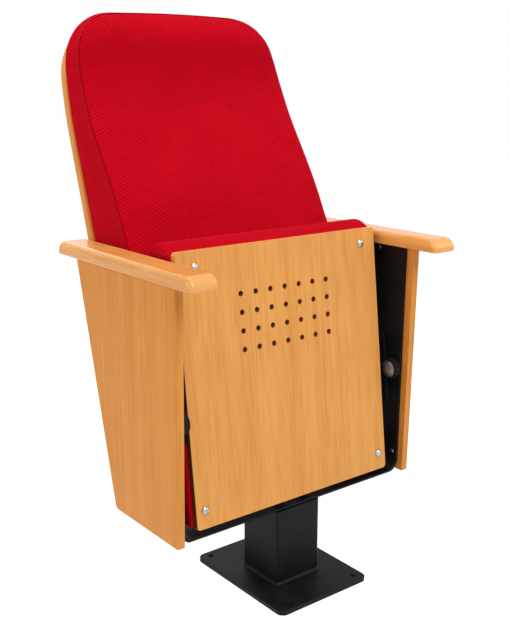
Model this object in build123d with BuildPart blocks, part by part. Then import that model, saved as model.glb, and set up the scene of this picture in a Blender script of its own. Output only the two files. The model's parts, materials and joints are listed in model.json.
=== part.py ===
from build123d import *
import os
from math import asin, cos, radians, sin, sqrt, tan

# Tip-up auditorium seat on a floor pedestal, in millimetres.
# The sitter faces -Y, +X is the sitter's left, +Z is up. The origin is the middle of
# the floor plate's underside. The seat is drawn tipped up, as it rests by itself.
# Pieces that come in pairs are drawn once, on the +X side, and mirrored.

# ---------------------------------------------------------------- driving dimensions

# fits between pieces
pin_fit = 0.05               # radial, a pin or bush in its bore
bolt_fit = 0.3               # radial, a bolt in a clearance hole
soft_gap = 0.3               # foam and cloth to what they lie against
slide_gap = 0.3              # side play of moving faces at the hinge

# pedestal
base_width = 206
base_depth = 256
base_thickness = 8
base_corner_radius = 14
base_edge_break = 0.8
floor_hole_diameter = 11
floor_hole_spacing_x = 164
floor_hole_spacing_y = 222
column_size = 100
column_wall = 4
column_corner_radius = 5
foot_weld_leg = 4
head_plate_thickness = 10
head_plate_fit = 0.1

# cradle, one steel plate bent to a U
cradle_steel = 6
cradle_inside_width = 498
cradle_underside = 150
cradle_bend_radius = 22
cradle_corner_radius = 6
cradle_bolt_spacing = 60
cradle_bolt_radius = 5
cradle_bolt_head_radius = 9
cradle_bolt_head_height = 6

# wooden side panels, screwed to the cradle
panel_thickness = 15
panel_rise = 4               # the wood starts this far above the cradle's underside
panel_front_bottom = -61.5
panel_front_top = -70.5
panel_rear_bottom = 136.5
panel_rear_top = 245.5
panel_rear_corner_radius = 9
panel_edge_radius = 1.5
steel_front_setback = 12     # the cradle's front edge stands this far inside the wood's
steel_rear_setback = 12
panel_screw_radius = 2
panel_screw_head_radius = 4.5
panel_screw_head_height = 2.6
panel_screw_bite = 11        # how far a screw runs into the wood
high_screw_drop = 8          # screws near the top: below the armrest, and in from each edge
high_screw_front_inset = 82
high_screw_rear_inset = 53
low_screw_rise = 34          # screws near the bottom: above the cradle's floor
low_screw_front_inset = 22
low_screw_rear_inset = 45

# armrests, on dowels in the panels' top edges
armrest_underside = 598
armrest_thickness = 24
armrest_width = 54
armrest_length = 419.5
armrest_front = -140
armrest_overhang = 20        # inside the cradle's outer faces
armrest_end_radius = 20      # its ends roll over, seen from the side
armrest_side_radius = 9
armrest_bottom_radius = 3
dowel_radius = 4
dowel_in_panel = 22
dowel_in_armrest = 16
dowel_places = [-45, 88, 222]

# seat, drawn in its own plane: up along the panel, and in from the panel's outer face
seat_tilt = 6.72             # the tipped-up panel leans back by this angle
seat_foot_y = -50.6          # lower edge of the panel's outer face
seat_foot_z = 167.7
seat_side_gap = 27.3         # from the panel's side edge to the cradle
seat_panel_height = 466.4
seat_panel_thickness = 10
seat_panel_corner_radius = 7
seat_panel_edge_radius = 0.8
sound_hole_diameter = 10
sound_hole_pitch = 32
sound_hole_columns = 7
sound_hole_rows = 4
sound_hole_top_row = 82.6    # below the panel's top edge
felt_thickness = 1.5
felt_margin = 14
seat_screw_radius = 2.5
seat_screw_length = 26
seat_screw_head_radius = 6.2
seat_screw_head_height = 4.2
top_screw_inset = 36.4
top_screw_drop = 27.5
bottom_screw_inset = 18.4
bottom_screw_rise = 32
seat_frame_margin = 8        # the frame stays inside the panel's ends by this much
seat_frame_side_margin = 6.7
seat_frame_bar = 50
seat_frame_thickness = 20
seat_frame_corner_radius = 10
webbing_width = 50
webbing_thickness = 1.5
webbing_overlap = 16         # onto the frame's bars
webbing_places = [92, 178, 264, 350]

# seat cushion
seat_cushion_overhang = 0.3  # past the panel's side edges
seat_cushion_edge_draw = 4
seat_cushion_foot = 4        # where its cover starts, above the panel's lower edge
seat_cushion_head = 464      # where it ends, up the panel
seat_nose = (483, 44)        # the front roll's furthest point: up the panel, in from it
seat_face_front = (450, 84)  # seating face, next to the front roll
seat_face_rear = (22, 78)
seat_heel = (1, 44)          # the rear roll's furthest point
seat_face_depth = 91         # seating face at the middle of its length, along the sides
seat_face_middle = 236
seat_crown = 8               # the seating face is this much fuller midway across

# hinge, the same on both sides
pivot_y = -34.4
pivot_z = 360
tip_angle = 92               # from tipped up to ready for the sitter
pin_radius = 6
pin_boss_radius = 9
bush_wall = 2
bush_flange_radius = 11
bush_flange_thickness = 1.5
hinge_plate_thickness = 4
hinge_plate_radius = 72
hinge_plate_front = 8        # straight front edge, in from the pivot
hinge_eye_radius = 20.5
hinge_corner_radius = 8
stop_circle_radius = 50
stop_pin_radius = 4
stop_buffer_radius = 8
stop_gap = 0.3
flange_thickness = 5
flange_half_height = 43
flange_length = 68
flange_bolt_radius = 4
flange_bolt_head_radius = 7
flange_bolt_head_height = 3.5
flange_bolt_inset = 46
flange_bolt_offset = 28
spring_cup_radius = 20
spring_cup_wall = 2.5
cup_end_gap = 0.5
spring_strip = 1.2
spring_width = 5.5
spring_turns = 3
spring_end_gap = 0.1
spring_side_gap = 1.25
cap_radius = 16
cap_rim = 1.2
cap_height = 4.6
cap_top_radius = 9

# backrest: the shell's side profile is a straight lean that bends upright at the top
back_lean = 17.75
back_line_y = 270.5          # a point on the shell's rear face
back_line_z = 620
back_bend_start = 800
back_bend_radius = 540
shell_thickness = 16
shell_bottom = 400
shell_top = 1003
shell_crown = 7
shell_side_gap = 15          # from its lower corners to the cradle
shell_top_draw = 5.5         # narrower at the top, on each side
shell_corner_radius = 110
shell_edge_radius = 2
back_cushion_bottom = 468
back_cushion_side_margin = 6
back_cushion_top = 1011
back_cushion_tip = 1026      # where the front roll would meet the shell's face
back_cushion_crown_top = 7
back_cushion_corner_radius = 86
back_cushion_edge_draw = 6
back_crown = 12
back_bottom_depth = 78       # cushion depth in front of the shell, at its lower edge
lumbar_height, lumbar_depth = 545, 114.5
waist_height, waist_depth = 620, 116.5
shoulder_height, shoulder_depth = 800, 72
head_height, head_depth = 972, 29
board_thickness = 6
board_side_margin = 36
board_bottom = 480
board_top = 950
board_corner_radius = 30

# brackets that hold the backrest between the cradle's side plates
bracket_thickness = 4
bracket_width = 49
bracket_web_depth = 46
bracket_drop = 32.3          # their upper ends, below the armrests
bracket_length = 100
bracket_bolt_margin = 22
bracket_bolt_radius = 4
bracket_bolt_head_radius = 7
bracket_bolt_head_height = 4
bracket_bolt_setback = 28    # in front of the shell's face
shell_screw_radius = 2.5
shell_screw_inset = 35
shell_screw_head_radius = 6
shell_screw_head_height = 3.2

# ---------------------------------------------------------------- sizes worked out

cradle_inner_x = cradle_inside_width / 2
cradle_outer_x = cradle_inner_x + cradle_steel
cradle_floor = cradle_underside + cradle_steel
panel_inner_x = cradle_outer_x
panel_underside = cradle_underside + panel_rise
panel_middle_x = panel_inner_x + panel_thickness / 2
column_length = cradle_underside - base_thickness
armrest_inner_x = panel_inner_x - armrest_overhang
armrest_middle_y = armrest_front + armrest_length / 2
along_x = (0, 90, 0)
from_start = (Align.CENTER, Align.CENTER, Align.MIN)

tilt = radians(seat_tilt)
seat_up = Vector(0, sin(tilt), cos(tilt))
seat_in = Vector(0, cos(tilt), -sin(tilt))
seat_foot = Vector(0, seat_foot_y, seat_foot_z)
seat_plane = Plane(origin=seat_foot, x_dir=(1, 0, 0), z_dir=-seat_in)
pivot = Vector(0, pivot_y, pivot_z)
pivot_up = (pivot - seat_foot).dot(seat_up)
seat_half_width = cradle_inner_x - seat_side_gap
seat_cushion_half_width = seat_half_width + seat_cushion_overhang
seat_frame_half_width = seat_half_width - seat_frame_side_margin
webbing_length = 2 * (seat_frame_half_width - seat_frame_bar + webbing_overlap)
frame_back = seat_panel_thickness + seat_frame_thickness
frame_length = seat_panel_height - 2 * seat_frame_margin
sound_hole_middle = (
    seat_panel_height - sound_hole_top_row - (sound_hole_rows - 1) * sound_hole_pitch / 2
)

bush_outer_x = cradle_inner_x - spring_width - 2 * spring_side_gap
hinge_plate_outer_x = bush_outer_x - bush_flange_thickness
hinge_plate_inner_x = hinge_plate_outer_x - hinge_plate_thickness
flange_bolt_x = hinge_plate_outer_x - flange_bolt_inset
bush_radius = pin_radius + pin_fit + bush_wall
cap_base_x = hinge_plate_inner_x - slide_gap
pin_inner_x = cap_base_x - cap_height / 2
stop_world_angle = radians(tip_angle / 2 - seat_tilt)
stop_place = (
    pivot_y + stop_circle_radius * cos(stop_world_angle),
    pivot_z + stop_circle_radius * sin(stop_world_angle),
)

lean = radians(back_lean)
back_up = Vector(0, sin(lean), cos(lean))
back_front = Vector(0, -cos(lean), sin(lean))
bend_start_y = back_line_y + (back_bend_start - back_line_z) * tan(lean)
bend_centre_y = bend_start_y - back_bend_radius * cos(lean)
bend_end_z = back_bend_start + back_bend_radius * sin(lean)
shell_half_bottom = cradle_inner_x - shell_side_gap
shell_half_top = shell_half_bottom - shell_top_draw
back_cushion_half_width = shell_half_bottom - back_cushion_side_margin
board_half_width = back_cushion_half_width - board_side_margin
bracket_inner_x = cradle_inner_x - bracket_width
shell_screw_x = cradle_inner_x - shell_screw_inset
bracket_end_rise = (armrest_underside - bracket_drop - shell_bottom) / cos(lean)
bracket_start = bracket_end_rise - bracket_length


def back_y(z, inset):
    """Y of the shell's side profile at height z, moved forward square to it by inset."""
    radius = back_bend_radius - inset
    if z > bend_end_z:
        return bend_centre_y + radius
    if z > back_bend_start + inset * sin(lean):
        return bend_centre_y + sqrt(radius**2 - (bend_end_z - z) ** 2)
    return back_line_y + (z - back_line_z) * tan(lean) - inset / cos(lean)


def front_edge_y(z):
    """Front edge of the wooden side panel at height z."""
    share = (z - panel_underside) / (armrest_underside - panel_underside)
    return panel_front_bottom + share * (panel_front_top - panel_front_bottom)


def rear_edge_y(z):
    """Rear edge of the wooden side panel at height z."""
    share = (z - panel_underside) / (armrest_underside - panel_underside)
    return panel_rear_bottom + share * (panel_rear_top - panel_rear_bottom)


high_screw_z = armrest_underside - high_screw_drop
low_screw_z = cradle_floor + low_screw_rise
panel_screw_places = [
    (front_edge_y(high_screw_z) + high_screw_front_inset, high_screw_z),
    (rear_edge_y(high_screw_z) - high_screw_rear_inset, high_screw_z),
    (front_edge_y(low_screw_z) + low_screw_front_inset, low_screw_z),
    (rear_edge_y(low_screw_z) - low_screw_rear_inset, low_screw_z),
]


def rod(start_x, end_x, centre, radius, mode=Mode.ADD):
    """A round bar along X, centred on (y, z)."""
    with Locations((start_x, *centre)):
        Cylinder(radius, end_x - start_x, rotation=along_x, align=from_start, mode=mode)


def hex_bolt(radius, height, shank_radius, shank_length):
    """A hexagon bolt: its head stands on Z = 0 and its shank points down."""
    with BuildPart() as bolt:
        with BuildSketch():
            RegularPolygon(radius, 6)
        extrude(amount=height)
        with BuildSketch():
            Circle(shank_radius)
        extrude(amount=-shank_length)
    return bolt.part


def round_head(radius, height, shank_radius, shank_length):
    """A round-head screw: its head stands on Z = 0 and its shank points down."""
    sphere = (radius**2 + height**2) / (2 * height)
    half = asin(radius / sphere) / 2
    crown = (sphere * sin(half), height - sphere * (1 - cos(half)))
    with BuildPart() as screw:
        with BuildSketch(Plane.XZ):
            with BuildLine():
                Polyline(
                    (0, height), (0, -shank_length), (shank_radius, -shank_length),
                    (shank_radius, 0), (radius, 0),
                )
                ThreePointArc((radius, 0), crown, (0, height))
            make_face()
        revolve(axis=Axis.Z)
    return screw.part


def mirrored(piece):
    """The same piece for the -X side."""
    with BuildPart() as twin:
        mirror(piece.part, about=Plane.YZ)
    return twin


# ---------------------------------------------------------------- pedestal

with BuildPart() as base_plate:
    with BuildSketch():
        RectangleRounded(base_width, base_depth, base_corner_radius)
        with GridLocations(floor_hole_spacing_x, floor_hole_spacing_y, 2, 2):
            Circle(floor_hole_diameter / 2, mode=Mode.SUBTRACT)
    extrude(amount=base_thickness)
    top_rim = base_plate.faces().sort_by(Axis.Z)[-1].outer_wire().edges()
    chamfer(top_rim, base_edge_break)

with BuildPart() as column:
    with BuildSketch(Plane.XY.offset(base_thickness)):
        RectangleRounded(column_size, column_size, column_corner_radius)
        offset(amount=-column_wall, mode=Mode.SUBTRACT)
    extrude(amount=column_length)

with BuildPart() as foot_weld:
    with BuildSketch(Plane.XY.offset(base_thickness)):
        weld_size = column_size + 2 * foot_weld_leg
        RectangleRounded(weld_size, weld_size, column_corner_radius + foot_weld_leg)
    extrude(amount=0.9 * foot_weld_leg, taper=45)
    with BuildSketch(Plane.XY.offset(base_thickness)):
        RectangleRounded(column_size, column_size, column_corner_radius)
    extrude(amount=foot_weld_leg, mode=Mode.SUBTRACT)

with BuildPart() as column_head:
    with BuildSketch(Plane.XY.offset(cradle_underside)):
        head_size = column_size - 2 * column_wall - 2 * head_plate_fit
        RectangleRounded(head_size, head_size, column_corner_radius - column_wall)
        with GridLocations(cradle_bolt_spacing, cradle_bolt_spacing, 2, 2):
            Circle(cradle_bolt_radius + pin_fit, mode=Mode.SUBTRACT)
    extrude(amount=-head_plate_thickness)

cradle_bolt = hex_bolt(
    cradle_bolt_head_radius, cradle_bolt_head_height, cradle_bolt_radius,
    cradle_steel + head_plate_thickness,
)
with BuildPart(Plane.XY.offset(cradle_floor)) as cradle_bolts:
    with GridLocations(cradle_bolt_spacing, cradle_bolt_spacing, 2, 2):
        add(cradle_bolt)

# ---------------------------------------------------------------- cradle

bracket_bolt_rises = [
    bracket_start + bracket_bolt_margin,
    bracket_start + bracket_length - bracket_bolt_margin,
]
shell_foot = Vector(0, back_y(shell_bottom, shell_thickness), shell_bottom)
bracket_bolt_points = [
    shell_foot + back_up * rise + back_front * bracket_bolt_setback
    for rise in bracket_bolt_rises
]
bracket_bolt_places = [(point.Y, point.Z) for point in bracket_bolt_points]

with BuildPart() as cradle:
    with BuildSketch(Plane.XZ):
        with BuildLine():
            outer = FilletPolyline(
                (-cradle_outer_x, armrest_underside), (-cradle_outer_x, cradle_underside),
                (cradle_outer_x, cradle_underside), (cradle_outer_x, armrest_underside),
                radius=cradle_bend_radius + cradle_steel,
            )
            inner = FilletPolyline(
                (-cradle_inner_x, armrest_underside), (-cradle_inner_x, cradle_floor),
                (cradle_inner_x, cradle_floor), (cradle_inner_x, armrest_underside),
                radius=cradle_bend_radius,
            )
            Line(outer @ 0, inner @ 0)
            Line(outer @ 1, inner @ 1)
        make_face()
    extrude(amount=armrest_length, both=True)
    with BuildSketch(Plane.YZ):
        with BuildLine():
            steel_front = front_edge_y(cradle_underside) + steel_front_setback
            Polyline(
                (steel_front, cradle_underside),
                (front_edge_y(armrest_underside) + 1.4 * steel_front_setback, armrest_underside),
                (rear_edge_y(armrest_underside) - steel_rear_setback, armrest_underside),
                (rear_edge_y(cradle_underside) - steel_rear_setback, cradle_underside),
                close=True,
            )
        make_face()
        fillet(vertices(), cradle_corner_radius)
    extrude(amount=cradle_outer_x, both=True, mode=Mode.INTERSECT)
    for place in panel_screw_places:
        rod(-cradle_outer_x, cradle_outer_x, place, panel_screw_radius + pin_fit, Mode.SUBTRACT)
    for place in bracket_bolt_places:
        rod(-cradle_outer_x, cradle_outer_x, place, bracket_bolt_radius + pin_fit, Mode.SUBTRACT)
    rod(-cradle_outer_x, cradle_outer_x, (pivot_y, pivot_z), pin_radius + pin_fit, Mode.SUBTRACT)
    rod(-cradle_outer_x, cradle_outer_x, stop_place, stop_pin_radius + pin_fit, Mode.SUBTRACT)
    with BuildSketch(Plane.XY.offset(cradle_underside)):
        with GridLocations(cradle_bolt_spacing, cradle_bolt_spacing, 2, 2):
            Circle(cradle_bolt_radius + bolt_fit)
    extrude(amount=cradle_steel, mode=Mode.SUBTRACT)

# ---------------------------------------------------------------- sides

with BuildPart() as side_panel_right:
    with BuildSketch(Plane.YZ.offset(panel_inner_x)):
        with BuildLine():
            Polyline(
                (panel_front_bottom, panel_underside), (panel_front_top, armrest_underside),
                (panel_rear_top, armrest_underside), (panel_rear_bottom, panel_underside),
                close=True,
            )
        make_face()
        low_corners = vertices().group_by(Axis.Y)[0].sort_by(Axis.X)
        fillet(low_corners[-1], panel_rear_corner_radius)
        fillet(low_corners[0], panel_edge_radius)
    extrude(amount=panel_thickness)
    long_edges = side_panel_right.faces().sort_by(Axis.X)[-1].edges()
    fillet(long_edges.sort_by(Axis.Z)[:-1], panel_edge_radius)
    for place in panel_screw_places:
        rod(
            panel_inner_x, panel_inner_x + panel_screw_bite + 1, place,
            panel_screw_radius + pin_fit, Mode.SUBTRACT,
        )
    with BuildSketch(Plane.XY.offset(armrest_underside)):
        with Locations(*[(panel_middle_x, y) for y in dowel_places]):
            Circle(dowel_radius + pin_fit)
    extrude(amount=-dowel_in_panel, mode=Mode.SUBTRACT)

panel_screw = round_head(
    panel_screw_head_radius, panel_screw_head_height, panel_screw_radius,
    cradle_steel + panel_screw_bite,
)
with BuildPart() as panel_screws_right:
    for y, z in panel_screw_places:
        with Locations(Plane(origin=(cradle_inner_x, y, z), z_dir=(-1, 0, 0))):
            add(panel_screw)

with BuildPart() as armrest_right:
    with BuildSketch(Plane.YZ.offset(armrest_inner_x)):
        with Locations((armrest_middle_y, armrest_underside + armrest_thickness / 2)):
            Rectangle(armrest_length, armrest_thickness)
        fillet(vertices().group_by(Axis.Y)[-1], armrest_end_radius)
    extrude(amount=armrest_width)
    side_rims = armrest_right.faces().filter_by(Plane.YZ).edges().sort_by(Axis.Z)
    fillet(side_rims[2:], armrest_side_radius)
    fillet(armrest_right.faces().sort_by(Axis.Z)[0].edges(), armrest_bottom_radius)
    with BuildSketch(Plane.XY.offset(armrest_underside)):
        with Locations(*[(panel_middle_x, y) for y in dowel_places]):
            Circle(dowel_radius + pin_fit)
    extrude(amount=dowel_in_armrest, mode=Mode.SUBTRACT)

with BuildPart() as armrest_dowels_right:
    with BuildSketch(Plane.XY.offset(armrest_underside - dowel_in_panel)):
        with Locations(*[(panel_middle_x, y) for y in dowel_places]):
            Circle(dowel_radius)
    extrude(amount=dowel_in_panel + dowel_in_armrest)

# ---------------------------------------------------------------- hinge, fixed pieces

with BuildPart() as pivot_pin_right:
    rod(pin_inner_x, cradle_outer_x, (pivot_y, pivot_z), pin_radius)
    rod(bush_outer_x + slide_gap, cradle_inner_x, (pivot_y, pivot_z), pin_boss_radius)

with BuildPart() as pivot_cap_right:
    cap_front_x = cap_base_x - cap_height
    with BuildSketch(Plane(origin=pivot, x_dir=(1, 0, 0), z_dir=(0, -1, 0))):
        with BuildLine():
            Polyline(
                (cap_front_x, 0), (pin_inner_x, 0), (pin_inner_x, pin_radius + pin_fit),
                (cap_base_x, pin_radius + pin_fit), (cap_base_x, cap_radius),
                (cap_base_x - cap_rim, cap_radius), (cap_front_x, cap_top_radius), close=True,
            )
        make_face()
    revolve(axis=Axis(pivot, (1, 0, 0)))

with BuildPart() as stop_pin_right:
    rod(hinge_plate_inner_x - 2, cradle_outer_x, stop_place, stop_pin_radius)

with BuildPart() as stop_buffer_right:
    rod(hinge_plate_inner_x - 1, cradle_inner_x, stop_place, stop_buffer_radius)
    rod(
        hinge_plate_inner_x - 1, cradle_inner_x, stop_place, stop_pin_radius + pin_fit,
        Mode.SUBTRACT,
    )

# A flat strip wound as a spiral of half turns, from the pin's boss out to the cup.
spiral_start = pin_boss_radius + spring_end_gap + spring_strip / 2
spiral_end = spring_cup_radius - spring_cup_wall - spring_end_gap - spring_strip / 2
half_turns = 2 * spring_turns
spiral_growth = (spiral_end - spiral_start) / half_turns
spring_start_x = bush_outer_x + spring_side_gap

with BuildPart() as return_spring_right:
    with BuildSketch(Plane.YZ.offset(spring_start_x)):
        spiral_centre = Vector(pivot_y, pivot_z)
        with BuildLine():
            here, heading = spiral_centre + Vector(spiral_start), Vector(0, 1)
            for turn in range(half_turns):
                arc = JernArc(here, heading, spiral_start + (turn + 0.5) * spiral_growth, 180)
                here, heading = arc @ 1, arc % 1
        trace(line_width=spring_strip)
    extrude(amount=spring_width)

# ---------------------------------------------------------------- hinge, on the seat

hinge_plane = Plane(
    origin=pivot + Vector(hinge_plate_inner_x), x_dir=seat_in, z_dir=(1, 0, 0)
)
flange_bolt_rises = [pivot_up - flange_bolt_offset, pivot_up + flange_bolt_offset]
stop_path = CenterArc((0, 0), stop_circle_radius, -tip_angle / 2, tip_angle)

with BuildPart() as hinge_plate_right:
    with BuildSketch(hinge_plane):
        Circle(hinge_plate_radius)
        with Locations((hinge_plate_front - hinge_plate_radius, 0)):
            Rectangle(2 * hinge_plate_radius, 2 * hinge_plate_radius, mode=Mode.SUBTRACT)
        fillet(vertices(), hinge_corner_radius)
        Circle(hinge_eye_radius)
        SlotArc(stop_path, 2 * (stop_buffer_radius + stop_gap), mode=Mode.SUBTRACT)
        Circle(bush_radius + pin_fit, mode=Mode.SUBTRACT)
    extrude(amount=hinge_plate_thickness)
    with BuildSketch(seat_plane.offset(-seat_panel_thickness)):
        with Locations((hinge_plate_outer_x - flange_length / 2, pivot_up)):
            Rectangle(flange_length, 2 * flange_half_height)
        with Locations(*[(flange_bolt_x, rise) for rise in flange_bolt_rises]):
            Circle(flange_bolt_radius + pin_fit, mode=Mode.SUBTRACT)
    extrude(amount=-flange_thickness)

with BuildPart() as hinge_bush_right:
    rod(hinge_plate_inner_x + 0.2, bush_outer_x, (pivot_y, pivot_z), bush_radius)
    rod(hinge_plate_outer_x, bush_outer_x, (pivot_y, pivot_z), bush_flange_radius)
    rod(
        hinge_plate_inner_x, bush_outer_x, (pivot_y, pivot_z), pin_radius + pin_fit,
        Mode.SUBTRACT,
    )

with BuildPart() as spring_cup_right:
    cup_end_x = cradle_inner_x - cup_end_gap
    rod(hinge_plate_outer_x, cup_end_x, (pivot_y, pivot_z), spring_cup_radius)
    rod(
        hinge_plate_outer_x, cup_end_x, (pivot_y, pivot_z), spring_cup_radius - spring_cup_wall,
        Mode.SUBTRACT,
    )

# ---------------------------------------------------------------- seat

with BuildPart() as seat_panel:
    with BuildSketch(seat_plane):
        with Locations((0, seat_panel_height / 2)):
            RectangleRounded(2 * seat_half_width, seat_panel_height, seat_panel_corner_radius)
    extrude(amount=-seat_panel_thickness)
    outer_face = seat_panel.faces().sort_by(Axis(seat_foot, seat_in))[0]
    fillet(outer_face.edges(), seat_panel_edge_radius)
    with BuildSketch(seat_plane):
        with Locations((0, sound_hole_middle)):
            with GridLocations(
                sound_hole_pitch, sound_hole_pitch, sound_hole_columns, sound_hole_rows
            ):
                Circle(sound_hole_diameter / 2)
    extrude(amount=-seat_panel_thickness, mode=Mode.SUBTRACT)

seat_screw_places = [
    (side * (seat_half_width - inset), rise)
    for inset, rise in (
        (top_screw_inset, seat_panel_height - top_screw_drop),
        (bottom_screw_inset, bottom_screw_rise),
    )
    for side in (-1, 1)
]
with BuildPart(mode=Mode.PRIVATE) as seat_screw_bores:
    with BuildSketch(seat_plane):
        with Locations(*seat_screw_places):
            Circle(seat_screw_radius + pin_fit)
    extrude(amount=-(seat_screw_length + 1))

with seat_panel:
    add(seat_screw_bores.part, mode=Mode.SUBTRACT)

with BuildPart() as seat_felt:
    with BuildSketch(seat_plane.offset(-seat_panel_thickness)):
        with Locations((0, sound_hole_middle)):
            Rectangle(
                (sound_hole_columns - 1) * sound_hole_pitch + 2 * felt_margin,
                (sound_hole_rows - 1) * sound_hole_pitch + 2 * felt_margin,
            )
    extrude(amount=-felt_thickness)

with BuildPart() as seat_frame:
    with BuildSketch(seat_plane.offset(-seat_panel_thickness)):
        with Locations((0, seat_panel_height / 2)):
            RectangleRounded(2 * seat_frame_half_width, frame_length, seat_frame_corner_radius)
            RectangleRounded(
                2 * (seat_frame_half_width - seat_frame_bar), frame_length - 2 * seat_frame_bar,
                seat_frame_corner_radius, mode=Mode.SUBTRACT,
            )
    extrude(amount=-seat_frame_thickness)
    with BuildSketch(seat_plane.offset(-seat_panel_thickness)):
        with Locations((-seat_frame_half_width, pivot_up), (seat_frame_half_width, pivot_up)):
            Rectangle(2 * seat_frame_bar, 2 * (flange_half_height + bolt_fit))
    extrude(amount=-(flange_thickness + pin_fit), mode=Mode.SUBTRACT)
    with BuildSketch(seat_plane.offset(-seat_panel_thickness)):
        for rise in flange_bolt_rises:
            with Locations((-flange_bolt_x, rise), (flange_bolt_x, rise)):
                Circle(flange_bolt_radius + pin_fit)
    extrude(amount=-seat_frame_thickness, mode=Mode.SUBTRACT)
    add(seat_screw_bores.part, mode=Mode.SUBTRACT)

seat_screw = round_head(
    seat_screw_head_radius, seat_screw_head_height, seat_screw_radius, seat_screw_length
)
with BuildPart(seat_plane) as seat_panel_screws:
    with Locations(*seat_screw_places):
        add(seat_screw)

with BuildPart() as seat_webbing:
    with BuildSketch(seat_plane.offset(-frame_back)):
        with Locations(*[(0, rise) for rise in webbing_places]):
            Rectangle(webbing_length, webbing_width)
    extrude(amount=-webbing_thickness)

flange_bolt = hex_bolt(
    flange_bolt_head_radius, flange_bolt_head_height, flange_bolt_radius, seat_frame_thickness
)
back_of_frame = Plane(
    origin=seat_foot + seat_in * frame_back, x_dir=(-1, 0, 0), z_dir=seat_in
)
with BuildPart(back_of_frame) as hinge_bolts_right:
    with Locations(*[(-flange_bolt_x, rise) for rise in flange_bolt_rises]):
        add(flange_bolt)


def seat_cushion_section(x, crown):
    """Side profile of the seat cushion at x; only its seating face swells by the crown."""
    head = (seat_panel_thickness + soft_gap, seat_cushion_head)
    foot = (seat_panel_thickness + soft_gap, seat_cushion_foot)
    face_front = (seat_face_front[1], seat_face_front[0])
    face_rear = (seat_face_rear[1], seat_face_rear[0])
    side_view = Plane(origin=seat_foot + Vector(x), x_dir=seat_in, z_dir=(1, 0, 0))
    with BuildSketch(side_view) as section:
        with BuildLine():
            Line(foot, head)
            ThreePointArc(head, (seat_nose[1], seat_nose[0]), face_front)
            ThreePointArc(face_front, (seat_face_depth + crown, seat_face_middle), face_rear)
            ThreePointArc(face_rear, (seat_heel[1], seat_heel[0]), foot)
        make_face()
    return section.sketch


with BuildPart() as seat_cushion:
    loft(
        [
            seat_cushion_section(-seat_cushion_half_width, 0),
            seat_cushion_section(0, seat_crown),
            seat_cushion_section(seat_cushion_half_width, 0),
        ]
    )
    cover_rims = seat_cushion.faces().filter_by(Plane.YZ).edges()
    chamfer(cover_rims.filter_by(GeomType.LINE, reverse=True), seat_cushion_edge_draw)
    with BuildSketch(seat_plane.offset(-seat_panel_thickness)):
        with Locations((0, seat_panel_height / 2)):
            RectangleRounded(
                2 * (seat_frame_half_width + soft_gap), frame_length + 2 * soft_gap,
                seat_frame_corner_radius,
            )
    extrude(amount=-(seat_frame_thickness + webbing_thickness + soft_gap), mode=Mode.SUBTRACT)
    with BuildSketch(seat_plane.offset(-frame_back)):
        for rise in flange_bolt_rises:
            with Locations((-flange_bolt_x, rise), (flange_bolt_x, rise)):
                Circle(flange_bolt_head_radius + soft_gap)
    extrude(amount=-(flange_bolt_head_height + soft_gap), mode=Mode.SUBTRACT)
    with BuildSketch(seat_plane.offset(-seat_panel_thickness)):
        with Locations((0, pivot_up)):
            Rectangle(2 * hinge_plate_outer_x, 2 * (flange_half_height + soft_gap))
    extrude(amount=-(flange_thickness + soft_gap), mode=Mode.SUBTRACT)

# ---------------------------------------------------------------- backrest


def back_outline(half_bottom, half_top, bottom, top, crown, corner):
    """Front view of the backrest: straight sides, rounded top corners, crowned top."""
    with BuildSketch(Plane.XZ) as outline:
        with BuildLine():
            Polyline(
                (-half_top, top), (-half_bottom, bottom), (half_bottom, bottom), (half_top, top)
            )
            ThreePointArc((half_top, top), (0, top + crown), (-half_top, top))
        make_face()
        fillet(vertices().group_by(Axis.Y)[-1], corner)
    return outline.sketch


def back_layer(inset, thickness, bottom, top):
    """Side profile of a layer of the backrest that follows the shell's curve."""
    with BuildSketch(Plane.YZ) as layer:
        with BuildLine():
            ends = []
            for depth in (inset, inset + thickness):
                bend_start_z = back_bend_start + depth * sin(lean)
                bend_start = (back_y(bend_start_z, depth), bend_start_z)
                straight = Line((back_y(bottom, depth), bottom), bend_start)
                if top > bend_end_z:
                    bend_end = (back_y(bend_end_z, depth), bend_end_z)
                    middle_z = (bend_start_z + bend_end_z) / 2
                    ThreePointArc(bend_start, (back_y(middle_z, depth), middle_z), bend_end)
                    Line(bend_end, (bend_end[0], top))
                    ends.append((straight @ 0, Vector(bend_end[0], top)))
                else:
                    middle_z = (bend_start_z + top) / 2
                    bend_end = (back_y(top, depth), top)
                    ThreePointArc(bend_start, (back_y(middle_z, depth), middle_z), bend_end)
                    ends.append((straight @ 0, Vector(*bend_end)))
            Line(ends[0][0], ends[1][0])
            Line(ends[0][1], ends[1][1])
        make_face()
    return layer.sketch


shell_screw_places = [
    (x, rise) for x in (-shell_screw_x, shell_screw_x) for rise in bracket_bolt_rises
]
shell_rear = Plane(
    origin=shell_foot - back_front * shell_thickness, x_dir=(-1, 0, 0), z_dir=-back_front
)

with BuildPart() as back_shell:
    extrude(
        back_layer(0, shell_thickness, shell_bottom, shell_top + 2 * shell_crown),
        amount=shell_half_bottom, both=True,
    )
    outline = back_outline(
        shell_half_bottom, shell_half_top, shell_bottom, shell_top, shell_crown,
        shell_corner_radius,
    )
    extrude(outline, amount=2 * back_line_y, both=True, mode=Mode.INTERSECT)
    rear_faces = [face for face in back_shell.faces() if face.normal_at().Y > 0.9]
    rear_rim = [
        edge for face in rear_faces for edge in face.edges()
        if abs(edge.center().X) > 1 or edge.center().Z > shell_top
    ]
    fillet(rear_rim, shell_edge_radius)
    with BuildSketch(shell_rear):
        with Locations(*shell_screw_places):
            Circle(shell_screw_radius + pin_fit)
    extrude(amount=-shell_thickness, mode=Mode.SUBTRACT)

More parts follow.
